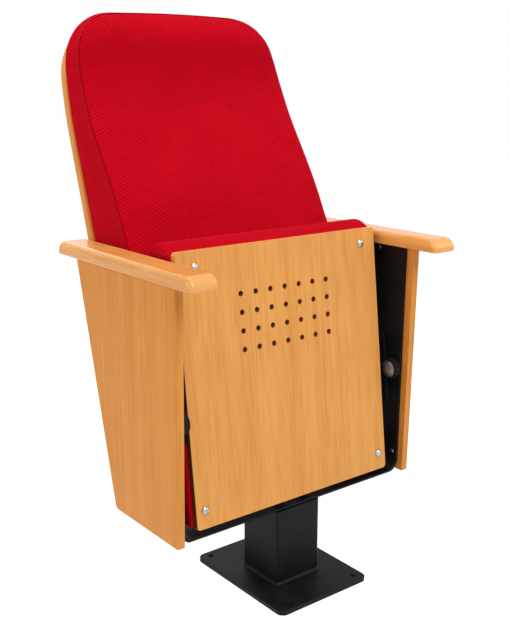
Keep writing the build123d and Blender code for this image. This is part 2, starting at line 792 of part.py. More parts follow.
with BuildPart() as back_board:
    extrude(
        back_layer(shell_thickness, board_thickness, board_bottom, board_top),
        amount=board_half_width, both=True,
    )
    outline = back_outline(
        board_half_width, board_half_width, board_bottom - 1, board_top - 1, 0.5,
        board_corner_radius,
    )
    extrude(outline, amount=2 * back_line_y, both=True, mode=Mode.INTERSECT)


def back_cushion_section(x, crown):
    """Side profile of the back cushion at x: lumbar swell, waist, shoulders, top roll."""
    rear = shell_thickness + soft_gap
    face = shell_thickness

    def front_point(z, depth):
        return (back_y(z, face) - depth - crown, z)

    bottom_front = front_point(back_cushion_bottom, back_bottom_depth)
    lumbar = front_point(lumbar_height, lumbar_depth)
    waist = front_point(waist_height, waist_depth)
    shoulder = front_point(shoulder_height, shoulder_depth)
    head = front_point(head_height, head_depth)
    bend_start_z = back_bend_start + rear * sin(lean)
    bend_start = (back_y(bend_start_z, rear), bend_start_z)
    bend_middle_z = (bend_start_z + bend_end_z) / 2
    bend_end = (back_y(bend_end_z, rear), bend_end_z)
    tip = (bend_end[0], back_cushion_tip)
    bottom_rear = (back_y(back_cushion_bottom, rear), back_cushion_bottom)
    with BuildSketch(Plane.YZ.offset(x)) as section:
        with BuildLine():
            ThreePointArc(bottom_front, lumbar, waist)
            slope = Line(waist, shoulder)
            chest = TangentArc(shoulder, head, tangent=slope % 1)
            TangentArc(head, tip, tangent=chest % 1)
            Line(tip, bend_end)
            ThreePointArc(bend_end, (back_y(bend_middle_z, rear), bend_middle_z), bend_start)
            Line(bend_start, bottom_rear)
            Line(bottom_rear, bottom_front)
        make_face()
    return section.sketch


bracket_plane = Plane(
    origin=shell_foot + back_up * bracket_start, x_dir=(1, 0, 0), z_dir=back_up
)
shell_face = Plane(origin=shell_foot, x_dir=(1, 0, 0), z_dir=back_front)

with BuildPart() as back_bracket_right:
    with BuildSketch(bracket_plane):
        with Locations((bracket_inner_x, 0)):
            Rectangle(
                cradle_inner_x - bracket_inner_x, bracket_thickness, align=(Align.MIN, Align.MAX)
            )
        with Locations((cradle_inner_x, 0)):
            Rectangle(bracket_thickness, bracket_web_depth, align=(Align.MAX, Align.MAX))
    extrude(amount=bracket_length)
    for place in bracket_bolt_places:
        rod(
            cradle_inner_x - bracket_thickness, cradle_inner_x, place,
            bracket_bolt_radius + pin_fit, Mode.SUBTRACT,
        )
    with BuildSketch(shell_face):
        with Locations(*[(shell_screw_x, rise) for rise in bracket_bolt_rises]):
            Circle(shell_screw_radius + pin_fit)
    extrude(amount=bracket_thickness, mode=Mode.SUBTRACT)

bracket_bolt = hex_bolt(
    bracket_bolt_head_radius, bracket_bolt_head_height, bracket_bolt_radius,
    bracket_thickness + cradle_steel,
)
with BuildPart() as bracket_bolts_right:
    for y, z in bracket_bolt_places:
        head_place = Plane(
            origin=(cradle_inner_x - bracket_thickness, y, z), z_dir=(-1, 0, 0)
        )
        with Locations(head_place):
            add(bracket_bolt)

shell_screw = round_head(
    shell_screw_head_radius, shell_screw_head_height, shell_screw_radius,
    shell_thickness + bracket_thickness,
)
with BuildPart(shell_rear) as shell_screws:
    with Locations(*shell_screw_places):
        add(shell_screw)

with BuildPart() as back_cushion:
    loft(
        [
            back_cushion_section(-back_cushion_half_width, 0),
            back_cushion_section(0, back_crown),
            back_cushion_section(back_cushion_half_width, 0),
        ]
    )
    outline = back_outline(
        back_cushion_half_width, back_cushion_half_width, back_cushion_bottom - 1,
        back_cushion_top, back_cushion_crown_top, back_cushion_corner_radius,
    )
    extrude(outline, amount=2 * back_line_y, both=True, mode=Mode.INTERSECT)
    seam_edges = [
        edge for edge in back_cushion.faces().filter_by(Plane.YZ).edges()
        if edge.center().Y < back_y(edge.center().Z, shell_thickness + back_cushion_edge_draw)
        and edge.center().Z > back_cushion_bottom + back_cushion_edge_draw
    ]
    chamfer(seam_edges, back_cushion_edge_draw)
    board_pocket = back_layer(
        shell_thickness, board_thickness + soft_gap, board_bottom - soft_gap,
        board_top + soft_gap,
    )
    extrude(board_pocket, amount=board_half_width + soft_gap, both=True, mode=Mode.SUBTRACT)
    with BuildSketch(shell_face):
        for side in (-1, 1):
            with Locations((side * cradle_inner_x, bracket_start + bracket_length / 2)):
                Rectangle(
                    2 * (cradle_inner_x - bracket_inner_x + soft_gap),
                    bracket_length + 2 * soft_gap,
                )
    extrude(amount=bracket_thickness + soft_gap, mode=Mode.SUBTRACT)

# ---------------------------------------------------------------- write the pieces

pieces = {
    "base_plate": base_plate,
    "column": column,
    "foot_weld": foot_weld,
    "column_head": column_head,
    "cradle_bolts": cradle_bolts,
    "cradle": cradle,
    "back_shell": back_shell,
    "back_board": back_board,
    "back_cushion": back_cushion,
    "shell_screws": shell_screws,
    "seat_panel": seat_panel,
    "seat_panel_screws": seat_panel_screws,
    "seat_felt": seat_felt,
    "seat_frame": seat_frame,
    "seat_webbing": seat_webbing,
    "seat_cushion": seat_cushion,
}
pairs = {
    "side_panel": side_panel_right,
    "panel_screws": panel_screws_right,
    "armrest": armrest_right,
    "armrest_dowels": armrest_dowels_right,
    "pivot_pin": pivot_pin_right,
    "pivot_cap": pivot_cap_right,
    "stop_pin": stop_pin_right,
    "stop_buffer": stop_buffer_right,
    "return_spring": return_spring_right,
    "back_bracket": back_bracket_right,
    "bracket_bolts": bracket_bolts_right,
    "hinge_plate": hinge_plate_right,
    "hinge_bush": hinge_bush_right,
    "hinge_bolts": hinge_bolts_right,
    "spring_cup": spring_cup_right,
}
for name, piece in pairs.items():
    pieces[name + "_right"] = piece
    pieces[name + "_left"] = mirrored(piece)

os.makedirs("parts", exist_ok=True)
for name, piece in pieces.items():
    piece.part.label = name
    export_step(piece.part, f"parts/{name}.step")
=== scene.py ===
import json
import bmesh
import bpy
from math import asin, atan2, cos, hypot, pi, radians, sin, sqrt, tan
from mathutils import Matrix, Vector


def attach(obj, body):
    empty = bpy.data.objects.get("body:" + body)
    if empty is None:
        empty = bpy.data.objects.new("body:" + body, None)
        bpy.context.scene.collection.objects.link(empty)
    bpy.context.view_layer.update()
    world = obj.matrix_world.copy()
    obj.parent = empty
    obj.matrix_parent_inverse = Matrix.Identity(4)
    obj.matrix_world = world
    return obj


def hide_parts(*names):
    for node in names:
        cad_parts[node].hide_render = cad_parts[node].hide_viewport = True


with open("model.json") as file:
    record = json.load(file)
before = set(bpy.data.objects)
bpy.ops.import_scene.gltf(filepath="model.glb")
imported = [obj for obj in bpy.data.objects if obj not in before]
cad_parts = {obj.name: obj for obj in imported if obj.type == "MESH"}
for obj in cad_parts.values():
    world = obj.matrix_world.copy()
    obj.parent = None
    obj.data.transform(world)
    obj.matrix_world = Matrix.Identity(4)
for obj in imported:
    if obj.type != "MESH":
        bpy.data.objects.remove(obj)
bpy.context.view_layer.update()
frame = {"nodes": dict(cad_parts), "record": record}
mm = 0.001
scene = bpy.context.scene


def addObject(name, data):
    made = bpy.data.objects.new(name, data)
    scene.collection.objects.link(made)
    return made


# camera: front left of the seat, a little above the armrests
view = {
    "place": (-1028.05, -1237.69, 899.70),  # mm
    "yaw": 0.6631, "pitch": 0.2503,  # radians
    "lens": 66.50, "sensor": 36.0, "clipEnd": 60,
}
cameraData = bpy.data.cameras.new("camera")
cameraData.lens = view["lens"]
cameraData.sensor_fit = "HORIZONTAL"
cameraData.sensor_width = view["sensor"]
cameraData.clip_end = view["clipEnd"]
camera = addObject("camera", cameraData)
camera.location = Vector(view["place"]) * mm
camera.rotation_euler = (pi / 2 - view["pitch"], 0, -view["yaw"])
scene.camera = camera
scene.view_settings.view_transform = "Standard"
print("camera set")


# node helpers, for materials and for Geometry Nodes alike
class Wire:
    # one output socket, which can be used in sums
    def __init__(self, web, socket):
        self.web, self.socket = web, socket

    def math(self, operation, other=None, swapped=False):
        pair = [self] if other is None else [other, self] if swapped else [self, other]
        return self.web.node("ShaderNodeMath", dict(enumerate(pair)), operation=operation)

    def __add__(self, other): return self.math("ADD", other)
    def __radd__(self, other): return self.math("ADD", other, True)
    def __sub__(self, other): return self.math("SUBTRACT", other)
    def __rsub__(self, other): return self.math("SUBTRACT", other, True)
    def __mul__(self, other): return self.math("MULTIPLY", other)
    def __rmul__(self, other): return self.math("MULTIPLY", other, True)


class Web:
    # a node tree under construction
    def __init__(self, tree):
        self.tree = tree
        tree.nodes.clear()

    def node(self, kind, inputs={}, output=0, **settings):
        made = self.tree.nodes.new(kind)
        for key, value in settings.items():
            setattr(made, key, value)
        for key, value in inputs.items():
            self.plug(made.inputs[key], value)
        return Wire(self, made.outputs[output])

    def plug(self, socket, value):
        if isinstance(value, Wire):
            self.tree.links.new(value.socket, socket)
        else:
            socket.default_value = value

    def end(self, kind, wire, socket="Surface"):
        self.plug(self.tree.nodes.new(kind).inputs[socket], wire)

    def seenBy(self, *kinds):
        # 1 for these kinds of ray, 0 for the rest
        path = self.tree.nodes.new("ShaderNodeLightPath")
        first, *others = [Wire(self, path.outputs[kind]) for kind in kinds]
        return sum(others, first).math("MINIMUM", 1.0)


class Finish(Web):
    # a material round one Principled shader
    def __init__(self, name, **values):
        self.material = bpy.data.materials.new(name)
        self.material.use_nodes = True
        super().__init__(self.material.node_tree)
        self.shader = self.tree.nodes.new("ShaderNodeBsdfPrincipled")
        self.end("ShaderNodeOutputMaterial", Wire(self, self.shader.outputs[0]))
        self.set(**values)

    def set(self, **values):
        for key, value in values.items():
            self.plug(self.shader.inputs[key.replace("_", " ")], value)

    def place(self, stretch=(1, 1, 1), shift=(0, 0, 0)):
        point = self.node("ShaderNodeTexCoord", output=3)
        return self.node("ShaderNodeVectorMath", {0: point, 1: stretch, 2: shift},
                         operation="MULTIPLY_ADD")

    def noise(self, point, size, detail=2.0, roughness=0.5, distortion=0.0):
        # size is the pattern's rough repeat in metres
        return self.node("ShaderNodeTexNoise", {
            "Vector": point, "Scale": 1 / size, "Detail": detail, "Roughness": roughness,
            "Distortion": distortion})

    def spread(self, value, low, high):
        # stretches low..high to 0..1 and clamps it
        return self.node("ShaderNodeMapRange", {0: value, 1: low, 2: high, 3: 0.0, 4: 1.0},
                         clamp=True)

    def share(self, value, low, high, most):
        # nothing at low, most at high
        return self.spread(value, low, high) * most

    def part(self, point, index):
        # one of a vector's three numbers
        return self.node("ShaderNodeSeparateXYZ", {0: point}, index)

    def wave(self, value, pitch):
        return (value * (2 * pi / pitch)).math("SINE")

    def mix(self, factor, first, second):
        return self.node("ShaderNodeMix", {0: factor, 6: first, 7: second}, 2,
                         data_type="RGBA", clamp_factor=True)

    def bump(self, height, strength, distance):
        return self.node("ShaderNodeBump", {
            "Height": height, "Strength": strength, "Distance": distance})


def rgb(*values):
    # an sRGB colour of 0..255 in linear light
    lin = [((v / 255 + 0.055) / 1.055) ** 2.4 if v > 10.3 else v / 255 / 12.92 for v in values]
    return (*lin, 1.0)


# woods: what all of them share, then each one's own look
woodGrain = {
    "bandWarp": 0.15, "streakWarp": 0.05, "fleckSize": 0.0011, "fleckStretch": 0.04,
    "patchSize": 0.14, "coatRoughness": 0.14,
    "bands": (0.30, 0.70, 0.28), "patches": (0.30, 0.70, 0.22),  # from, to, share of the tone
    "streaks": (0.32, 0.68, 0.50), "lines": (0.50, 0.78, 0.40),
    "ridges": (0.56, 0.80, 0.35), "flecks": (0.60, 0.80, 0.13),
    # painted shade: how it fades with height and how strong it is
    "endFade": (0.35, 0.85, 0.75), "paintedShadeFade": 0.03, "paintedShadeStrength": 0.85,
    "lineRoughness": 0.10, "streakRelief": 0.6, "bump": (0.10, 0.0003),
}
veneer = {
    "grain": (1, 1, 0.012),
    "dark": rgb(206, 128, 51), "light": rgb(234, 161, 79), "streak": rgb(184, 103, 36),
    "bandSize": 0.026, "streakSize": 0.0052, "lineSize": 0.0020,
    "roughness": 0.42, "specular": 0.12, "coat": 0.02,
}
solidBeech = {
    "grain": (0.45, 0.025, 0.5),
    "dark": rgb(214, 137, 62), "light": rgb(244, 182, 106), "streak": rgb(184, 104, 40),
    "endTone": rgb(238, 172, 98), "bandSize": 0.026, "streakSize": 0.0045, "lineSize": 0.0013,
    "roughness": 0.34, "specular": 0.05, "coat": 0.6,
}
plywood = {
    "grain": (0.05, 1, 1),
    "dark": rgb(190, 150, 104), "light": rgb(222, 190, 146), "streak": rgb(168, 126, 84),
    "bandSize": 0.03, "streakSize": 0.005, "lineSize": 0.0015,
    "roughness": 0.7, "specular": 0.2, "coat": 0.0,
}


def makeWood(name, look, shift=(0, 0, 0)):
    rule = woodGrain
    wood = Finish(name, IOR=1.5, Coat_Roughness=rule["coatRoughness"],
                  Specular_IOR_Level=look["specular"])
    point = wood.place(look["grain"], shift)
    bands = wood.noise(point, look["bandSize"], 3.0, 0.5, rule["bandWarp"])
    streaks = wood.noise(point, look["streakSize"], 3.0, 0.55, rule["streakWarp"])
    lines = wood.noise(point, look["lineSize"])
    stretch = [rule["fleckStretch"] if part < 0.5 else 1.0 for part in look["grain"]]
    flecks = wood.noise(wood.place(stretch, shift), rule["fleckSize"], 1.0)
    patches = wood.noise(wood.place((1, 1, 1), shift), rule["patchSize"])
    tone = wood.share(bands, *rule["bands"]) + wood.share(patches, *rule["patches"]) \
        + wood.share(streaks, *rule["streaks"])
    color = wood.mix(tone, look["dark"], look["light"])
    thin = wood.share(lines, *rule["lines"]) + wood.share(streaks, *rule["ridges"])
    color = wood.mix(thin, color, look["streak"])
    color = wood.mix(wood.share(flecks, *rule["flecks"]), color, look["streak"])
    if "endTone" in look:  # calmer where the grain is cut across
        normal = wood.node("ShaderNodeNewGeometry", output=1)
        cutAcross = wood.part(normal, 1).math("ABSOLUTE")
        color = wood.mix(wood.share(cutAcross, *rule["endFade"]), color, look["endTone"])
    if "paintedShade" in look:  # painted shade: a darker tone by distance from the middle, below a height
        start, full, top, paintedShade = look["paintedShade"]
        offCentre = wood.part(wood.place(), 0).math("ABSOLUTE")
        height = wood.part(wood.place(), 2)
        inPaintedShade = wood.spread(offCentre, start, full) \
            * wood.share(height, top, top - rule["paintedShadeFade"], rule["paintedShadeStrength"])
        color = wood.mix(inPaintedShade, color, paintedShade)
    wood.set(
        Base_Color=color,
        Roughness=look["roughness"] + rule["lineRoughness"] * thin,
        Coat_Weight=look["coat"],
        Normal=wood.bump(lines + streaks * rule["streakRelief"], *rule["bump"]),
    )
    return wood.material


# the red cloth: sizes and the painted upper shade's heights in metres
redCloth = {
    "deep": rgb(165, 1, 17), "bright": rgb(206, 9, 32), "tone": 0.42,
    "ribPitch": 0.0056, "ribAngle": 26, "ribDepth": 1.0, "ribShade": 0.60, "ribPower": 0.7,
    "swaySize": 0.07, "sway": 0.0016, "brokenSize": 0.012, "brokenShade": 0.45,
    "weavePitch": 0.0017, "weaveShade": 0.20, "weaveDepth": 0.30,
    "mottleSize": 0.09, "mottleShade": 0.50,
    "fuzzSize": 0.0008, "fuzzShade": 0.25, "fuzzDepth": 0.25, "fuzzRoughness": 0.1,
    "bump": (0.40, 0.0006), "roughness": 0.9, "specular": 0.04,
    "sheen": 0.18, "sheenRoughness": 0.45, "sheenTint": rgb(255, 80, 100),
    # painted shade: the seam's darker line stands for the shade in its crease
    "seam": (0.15, 0.9), "seamPaintedShade": 0.45, "seamShadowColor": rgb(84, 2, 12),
    # painted shade: a darker band on the back's upright upper part
    "upperShade": (0.84, 0.93, 0.95, 0.995), "upperShadeStrength": 0.42, "upperShadeColor": rgb(150, 0, 14),
}


def makeCloth(name, look):
    cloth = Finish(name, IOR=1.4, Specular_IOR_Level=look["specular"],
                   Sheen_Weight=look["sheen"], Sheen_Roughness=look["sheenRoughness"],
                   Sheen_Tint=look["sheenTint"])
    uv = cloth.node("ShaderNodeUVMap", uv_map="clothMap")
    u, v = cloth.part(uv, 0), cloth.part(uv, 1)
    turn = radians(look["ribAngle"])
    sway = cloth.noise(uv, look["swaySize"]) * look["sway"]
    across = v * cos(turn) - u * sin(turn) + sway
    along = u * cos(turn) + v * sin(turn)
    rib = (cloth.wave(across, look["ribPitch"]) * 0.5 + 0.5).math("POWER", look["ribPower"])
    twill = cloth.wave(along, look["weavePitch"]) * cloth.wave(across, look["weavePitch"])
    twill = twill * 0.5 + 0.5
    broken = cloth.noise(uv, look["brokenSize"], 3.0)
    mottle = cloth.noise(cloth.place(), look["mottleSize"], 3.0)
    fuzz = cloth.noise(uv, look["fuzzSize"])
    tone = look["tone"] + (rib - 0.5) * (look["ribDepth"] * look["ribShade"]) * (0.5 + broken)
    tone = tone + (twill - 0.5) * look["weaveShade"] + (mottle - 0.5) * look["mottleShade"] \
        + (broken - 0.5) * look["brokenShade"] + (fuzz - 0.5) * look["fuzzShade"]
    color = cloth.mix(tone, look["deep"], look["bright"])
    height = cloth.part(cloth.place(), 2)
    start, full, fade, end = look["upperShade"]  # painted shade: the back's upright upper part is drawn darker, where less light falls on it
    upperShade = cloth.spread(height, start, full) * (1 - cloth.spread(height, fade, end))
    color = cloth.mix(upperShade * look["upperShadeStrength"], color, look["upperShadeColor"])
    # painted shade: the cloth is drawn darker at the seam, for the shade in its crease
    seam = cloth.node("ShaderNodeAttribute", output=2, attribute_name="seam")
    seamShadow = cloth.share(seam, *look["seam"], look["seamPaintedShade"])
    relief = rib * look["ribDepth"] + twill * look["weaveDepth"] + fuzz * look["fuzzDepth"]
    cloth.set(
        Base_Color=cloth.mix(seamShadow, color, look["seamShadowColor"]),
        Roughness=look["roughness"] + (fuzz - 0.5) * look["fuzzRoughness"],
        Normal=cloth.bump(relief, *look["bump"]),
    )
    return cloth.material


# metals and the small stuff
powderCoat = {
    "dark": rgb(12, 12, 13), "light": rgb(29, 29, 30), "peelSize": 0.0016, "cloudSize": 0.05,
    "tones": (0.35, 0.7), "roughness": 0.46, "cloudRoughness": 0.15, "bump": (0.10, 0.0002),
}


def makePowderCoat():
    look = powderCoat
    coat = Finish("blackPowderCoat", IOR=1.22, Specular_IOR_Level=0.5)
    peel = coat.noise(coat.place(), look["peelSize"], 2.0, 0.6)
    cloud = coat.noise(coat.place(), look["cloudSize"])
    tone = coat.spread(cloud * 0.5 + peel * 0.5, *look["tones"])
    coat.set(
        Base_Color=coat.mix(tone, look["dark"], look["light"]),
        Roughness=look["roughness"] + (cloud - 0.5) * look["cloudRoughness"],
        Normal=coat.bump(peel, *look["bump"]),
    )
    return coat.material


metalWear = {
    "stretch": (1, 1, 0.2), "cloudSize": 0.012, "clouds": (0.35, 0.75), "dull": 0.75,
    "cloudRoughness": 0.06, "bump": (0.05, 0.0001),
}


def makeMetal(name, color, roughness, scratchSize=0.0012, wear=0.10, metallic=1.0):
    metal = Finish(name, Metallic=metallic)
    scratches = metal.noise(metal.place(metalWear["stretch"]), scratchSize, 3.0, 0.6)
    cloud = metal.noise(metal.place(), metalWear["cloudSize"])
    dull = tuple(part * metalWear["dull"] for part in color[:3]) + (1.0,)
    metal.set(
        Base_Color=metal.mix(metal.spread(cloud, *metalWear["clouds"]), color, dull),
        Roughness=roughness + (scratches - 0.5) * wear
        + (cloud - 0.5) * metalWear["cloudRoughness"],
        Normal=metal.bump(scratches, *metalWear["bump"]),
    )
    return metal.material


plainWear = {"tones": (0.3, 0.7), "roughness": 0.12, "bump": 0.3}


def makePlain(name, dark, light, roughness, size, bumpDistance, **values):
    # moulded, rubbed or fibrous stuff: two tones on one noise, with a bump
    plain = Finish(name, **values)
    grain = plain.noise(plain.place(), size, 3.0, 0.6)
    plain.set(
        Base_Color=plain.mix(plain.spread(grain, *plainWear["tones"]), dark, light),
        Roughness=roughness + (grain - 0.5) * plainWear["roughness"],
        Normal=plain.bump(grain, plainWear["bump"], bumpDistance),
    )
    return plain.material


webbingWeave = {
    "dark": rgb(18, 18, 19), "light": rgb(52, 52, 54), "pitchX": 0.0032, "pitchZ": 0.0024,
    "roughness": 0.8, "weaveRoughness": 0.1, "bump": (0.5, 0.0006),
}


def makeWebbing():
    look = webbingWeave
    band = Finish("blackWebbing", IOR=1.4, Sheen_Weight=0.1)
    point = band.place()
    weave = band.wave(band.part(point, 0), look["pitchX"]) \
        * band.wave(band.part(point, 2), look["pitchZ"])
    weave = weave * 0.5 + 0.5
    band.set(
        Base_Color=band.mix(weave, look["dark"], look["light"]),
        Roughness=look["roughness"] + weave * look["weaveRoughness"],
        Normal=band.bump(weave, *look["bump"]),
    )
    return band.material


# painted shade, on the side panels' inner faces and the seat panel's side edges: from and to this
# far from the middle, below this height, its colour
panelWood = makeWood("beechVeneerSides", {
    **veneer, "paintedShade": (0.2497, 0.2491, 0.70, rgb(172, 92, 34))})
leaning = {"grain": (1, 0.3, 0.012)}  # keeps the lines long on a leaning board
seatWood = makeWood("beechVeneerSeat", {
    **veneer, **leaning, "dark": rgb(216, 142, 68), "light": rgb(242, 176, 98),
    "streak": rgb(200, 126, 56), "paintedShade": (0.2210, 0.2215, 0.61, rgb(66, 26, 6)),
}, (0.37, 0.1, 0.2))
shellWood = makeWood("beechVeneerBack", {**veneer, **leaning}, (0.71, 0.4, 0.6))
armWood = makeWood("beechArmrests", solidBeech)
innerWood = makeWood("barePlywood", plywood)
ribbedRed = makeCloth("redRibbedCloth", redCloth)
plainRed = makeCloth("redPlainCloth", {
    **redCloth, "deep": rgb(170, 1, 18), "bright": rgb(202, 8, 32), "upperShadeStrength": 0.0,
    "ribDepth": 0.12})
seatCloth = {**redCloth, "upperShadeStrength": 0.0, "seamPaintedShade": 0.2}
seatRed = makeCloth("redSeatCloth", {**seatCloth, "ribDepth": 0.6})
seatSideRed = makeCloth("redSeatSideCloth", {**seatCloth, "ribDepth": 0.1})
blackSteel = makePowderCoat()
zinc = makeMetal("zincPlate", rgb(192, 192, 190), 0.22)
chrome = makeMetal("polishedCap", rgb(112, 112, 116), 0.14, scratchSize=0.004, wear=0.05,
                   metallic=0.7)
turned = makeMetal("turnedSteel", rgb(196, 196, 198), 0.3)
springSteel = makeMetal("springSteel", rgb(112, 114, 124), 0.34)
nylon = makePlain("nylon", rgb(214, 210, 196), rgb(232, 229, 218), 0.45, 0.004, 0.0001)
rubber = makePlain("rubber", rgb(16, 16, 16), rgb(32, 32, 32), 0.75, 0.002, 0.0002)
felt = makePlain("blackFelt", rgb(14, 14, 15), rgb(34, 34, 36), 0.95, 0.0015, 0.0005,
                 Sheen_Weight=0.15)
# painted shade: the darker wood lining the sound holes
holeShadeWood = makePlain("burntHoleEdge", rgb(120, 58, 24), rgb(176, 100, 48), 0.7, 0.0015, 0.0001)
webbing = makeWebbing()
print("materials made")

nodeFinishes = {
    "seat_panel": seatWood, "back_shell": shellWood, "cradle_bolts": blackSteel,
    "armrest_dowels_right": innerWood, "armrest_dowels_left": innerWood,
}
slotFinishes = {
    "powder_coated_steel": blackSteel, "zinc_screws": zinc, "turned_steel": turned,
    "spring_steel": springSteel, "chrome_cap": chrome, "nylon_bush": nylon,
    "rubber_buffer": rubber, "felt": felt, "webbing": webbing, "red_fabric": plainRed,
    "beech_panel": panelWood, "beech_solid": armWood, "inner_plywood": innerWood,
}
slotOfNode = {part["node"]: part["material_slot"] for part in frame["record"]["subparts"]}
for nodeName, nodeObject in frame["nodes"].items():
    finish = nodeFinishes.get(nodeName) or slotFinishes[slotOfNode[nodeName]]
    for slotHere in nodeObject.material_slots:
        slotHere.material = finish
    if not nodeObject.material_slots:
        nodeObject.data.materials.append(finish)


# shapes shared by both cushions
def between(low, high, share):
    return low + (high - low) * share


def arcThrough(first, middle, last, count):
    # count + 1 points on the arc through three points
    (x0, y0), (x1, y1), (x2, y2) = first, middle, last
    d = 2 * (x0 * (y1 - y2) + x1 * (y2 - y0) + x2 * (y0 - y1))
    s0, s1, s2 = x0 * x0 + y0 * y0, x1 * x1 + y1 * y1, x2 * x2 + y2 * y2
    cx = (s0 * (y1 - y2) + s1 * (y2 - y0) + s2 * (y0 - y1)) / d
    cy = (s0 * (x2 - x1) + s1 * (x0 - x2) + s2 * (x1 - x0)) / d
    radius = hypot(x0 - cx, y0 - cy)
    start, mid, end = (atan2(y - cy, x - cx) for x, y in (first, middle, last))
    sweep = (end - start) % (2 * pi)
    if (mid - start) % (2 * pi) > sweep:
        sweep -= 2 * pi
    return [(cx + radius * cos(start + sweep * i / count),
             cy + radius * sin(start + sweep * i / count)) for i in range(count + 1)]


def lengthsAlong(points):
    lengths = [0.0]
    for (x0, y0), (x1, y1) in zip(points, points[1:]):
        lengths.append(lengths[-1] + hypot(x1 - x0, y1 - y0))
    return lengths


def resample(points, shares):
    # points at shares of a polyline's length, and the length
    lengths = lengthsAlong(points)
    total, out, k = lengths[-1], [], 0
    for share in shares:
        want = share * total
        while k < len(points) - 2 and lengths[k + 1] < want:
            k += 1
        t = (want - lengths[k]) / (lengths[k + 1] - lengths[k])
        (x0, y0), (x1, y1) = points[k:k + 2]
        out.append((between(x0, x1, t), between(y0, y1, t)))
    return out, total


def knots(length, edge, step):
    # shares 0..1 with close steps at both ends, given as distances in edge
    inner = length - 2 * edge[-1]
    count = max(2, round(inner / step))
    middle = [edge[-1] + inner * i / count for i in range(1, count)]
    far = [length - d for d in reversed(edge)]
    return [d / length for d in [*edge, *middle, *far]]


def endMesh(mesh, name, *finishes):
    bmesh.ops.recalc_face_normals(mesh, faces=mesh.faces)
    data = bpy.data.meshes.new(name)
    mesh.to_mesh(data)
    mesh.free()
    for finish in finishes:
        data.materials.append(finish)
    return data


padGaps = {"weld": 0.02, "dissolve": 0.01}  # mm, between points that become one


def makePad(name, look, front, rear, frontMap, drawIn, seamSides, finishes):
    # front and rear are grids [i][j] of points; a gusset joins their edges
    gussetShares = look["gussetShares"]
    nx, ny = len(front) - 1, len(front[0]) - 1
    mesh = bmesh.new()
    mapLayer = mesh.loops.layers.uv.new("clothMap")
    seamLayer = mesh.verts.layers.float.new("seam")
    heldLayer = mesh.verts.layers.float.new("held")
    faceVerts = [[mesh.verts.new(p) for p in column] for column in front]
    rearVerts = [[mesh.verts.new(p) for p in column] for column in rear]
    for column in rearVerts:
        for vert in column:
            vert[heldLayer] = 1.0

    def quad(corners, mapPlaces, slotIndex):
        made = mesh.faces.new(corners)
        made.material_index = slotIndex
        made.smooth = True
        for loop, place in zip(made.loops, mapPlaces):
            loop[mapLayer].uv = place

    def gussetMap(i, j, share):
        point = front[i][j].lerp(rear[i][j], share)
        shift = look["mapShift"] if i == 0 else -look["mapShift"]
        return point.y + shift, point.z + abs(point.x) * look["mapSlant"]

    for i in range(nx):
        for j in range(ny):
            ring = [(i, j), (i + 1, j), (i + 1, j + 1), (i, j + 1)]
            quad([faceVerts[a][b] for a, b in ring], [frontMap(a, b) for a, b in ring], 0)
            quad([rearVerts[a][b] for a, b in ring], [rear[a][b].xz for a, b in ring], 1)
    rim = [(i, 0) for i in range(nx)] + [(nx, j) for j in range(ny)] \
        + [(i, ny) for i in range(nx, 0, -1)] + [(0, j) for j in range(ny, 0, -1)]
    middle = sum((front[i][j] for i, j in rim), Vector()) / len(rim)
    strips = []
    for i, j in rim:
        a, b = front[i][j], rear[i][j]
        strip = [faceVerts[i][j]]
        for share in gussetShares[1:-1]:
            point = a.lerp(b, share)
            point = point + drawIn(point, middle) * sin(pi * share)
            strip.append(mesh.verts.new(point))
        strip.append(rearVerts[i][j])
        strips.append(strip)
        side = "left" if i == 0 else "right" if i == nx else "low" if j == 0 else "high"
        if side in seamSides or (j in (0, ny) and {"low", "high"} & seamSides):
            strip[0][seamLayer] = 1.0
    for n, (i, j) in enumerate(rim):
        i2, j2 = rim[(n + 1) % len(rim)]
        one, two = strips[n], strips[(n + 1) % len(rim)]
        for k, (near, far) in enumerate(zip(gussetShares, gussetShares[1:])):
            quad([one[k], one[k + 1], two[k + 1], two[k]],
                 [gussetMap(i, j, near), gussetMap(i, j, far),
                  gussetMap(i2, j2, far), gussetMap(i2, j2, near)], 1)
    bmesh.ops.remove_doubles(mesh, verts=mesh.verts, dist=padGaps["weld"] * mm)
    bmesh.ops.dissolve_degenerate(mesh, edges=mesh.edges, dist=padGaps["dissolve"] * mm)
    pad = addObject(name, endMesh(mesh, name, *finishes))
    puff(pad, look["cap"] * mm)
    sewSeam(pad, look["seamDepth"] * mm)
    return pad


def bake(piece):
    # the evaluated mesh takes the place of mesh and modifiers
    graph = bpy.context.evaluated_depsgraph_get()
    data = bpy.data.meshes.new_from_object(piece.evaluated_get(graph),
                                           preserve_all_data_layers=True, depsgraph=graph)
    piece.modifiers.clear()
    piece.data = data


clothFrames = 20
clothRun = {
    "quality": 5, "mass": 0.3, "tension_stiffness": 18, "compression_stiffness": 18,
    "shear_stiffness": 9, "bending_stiffness": 0.6, "use_pressure": True,
    "uniform_pressure_force": 4.0,
}


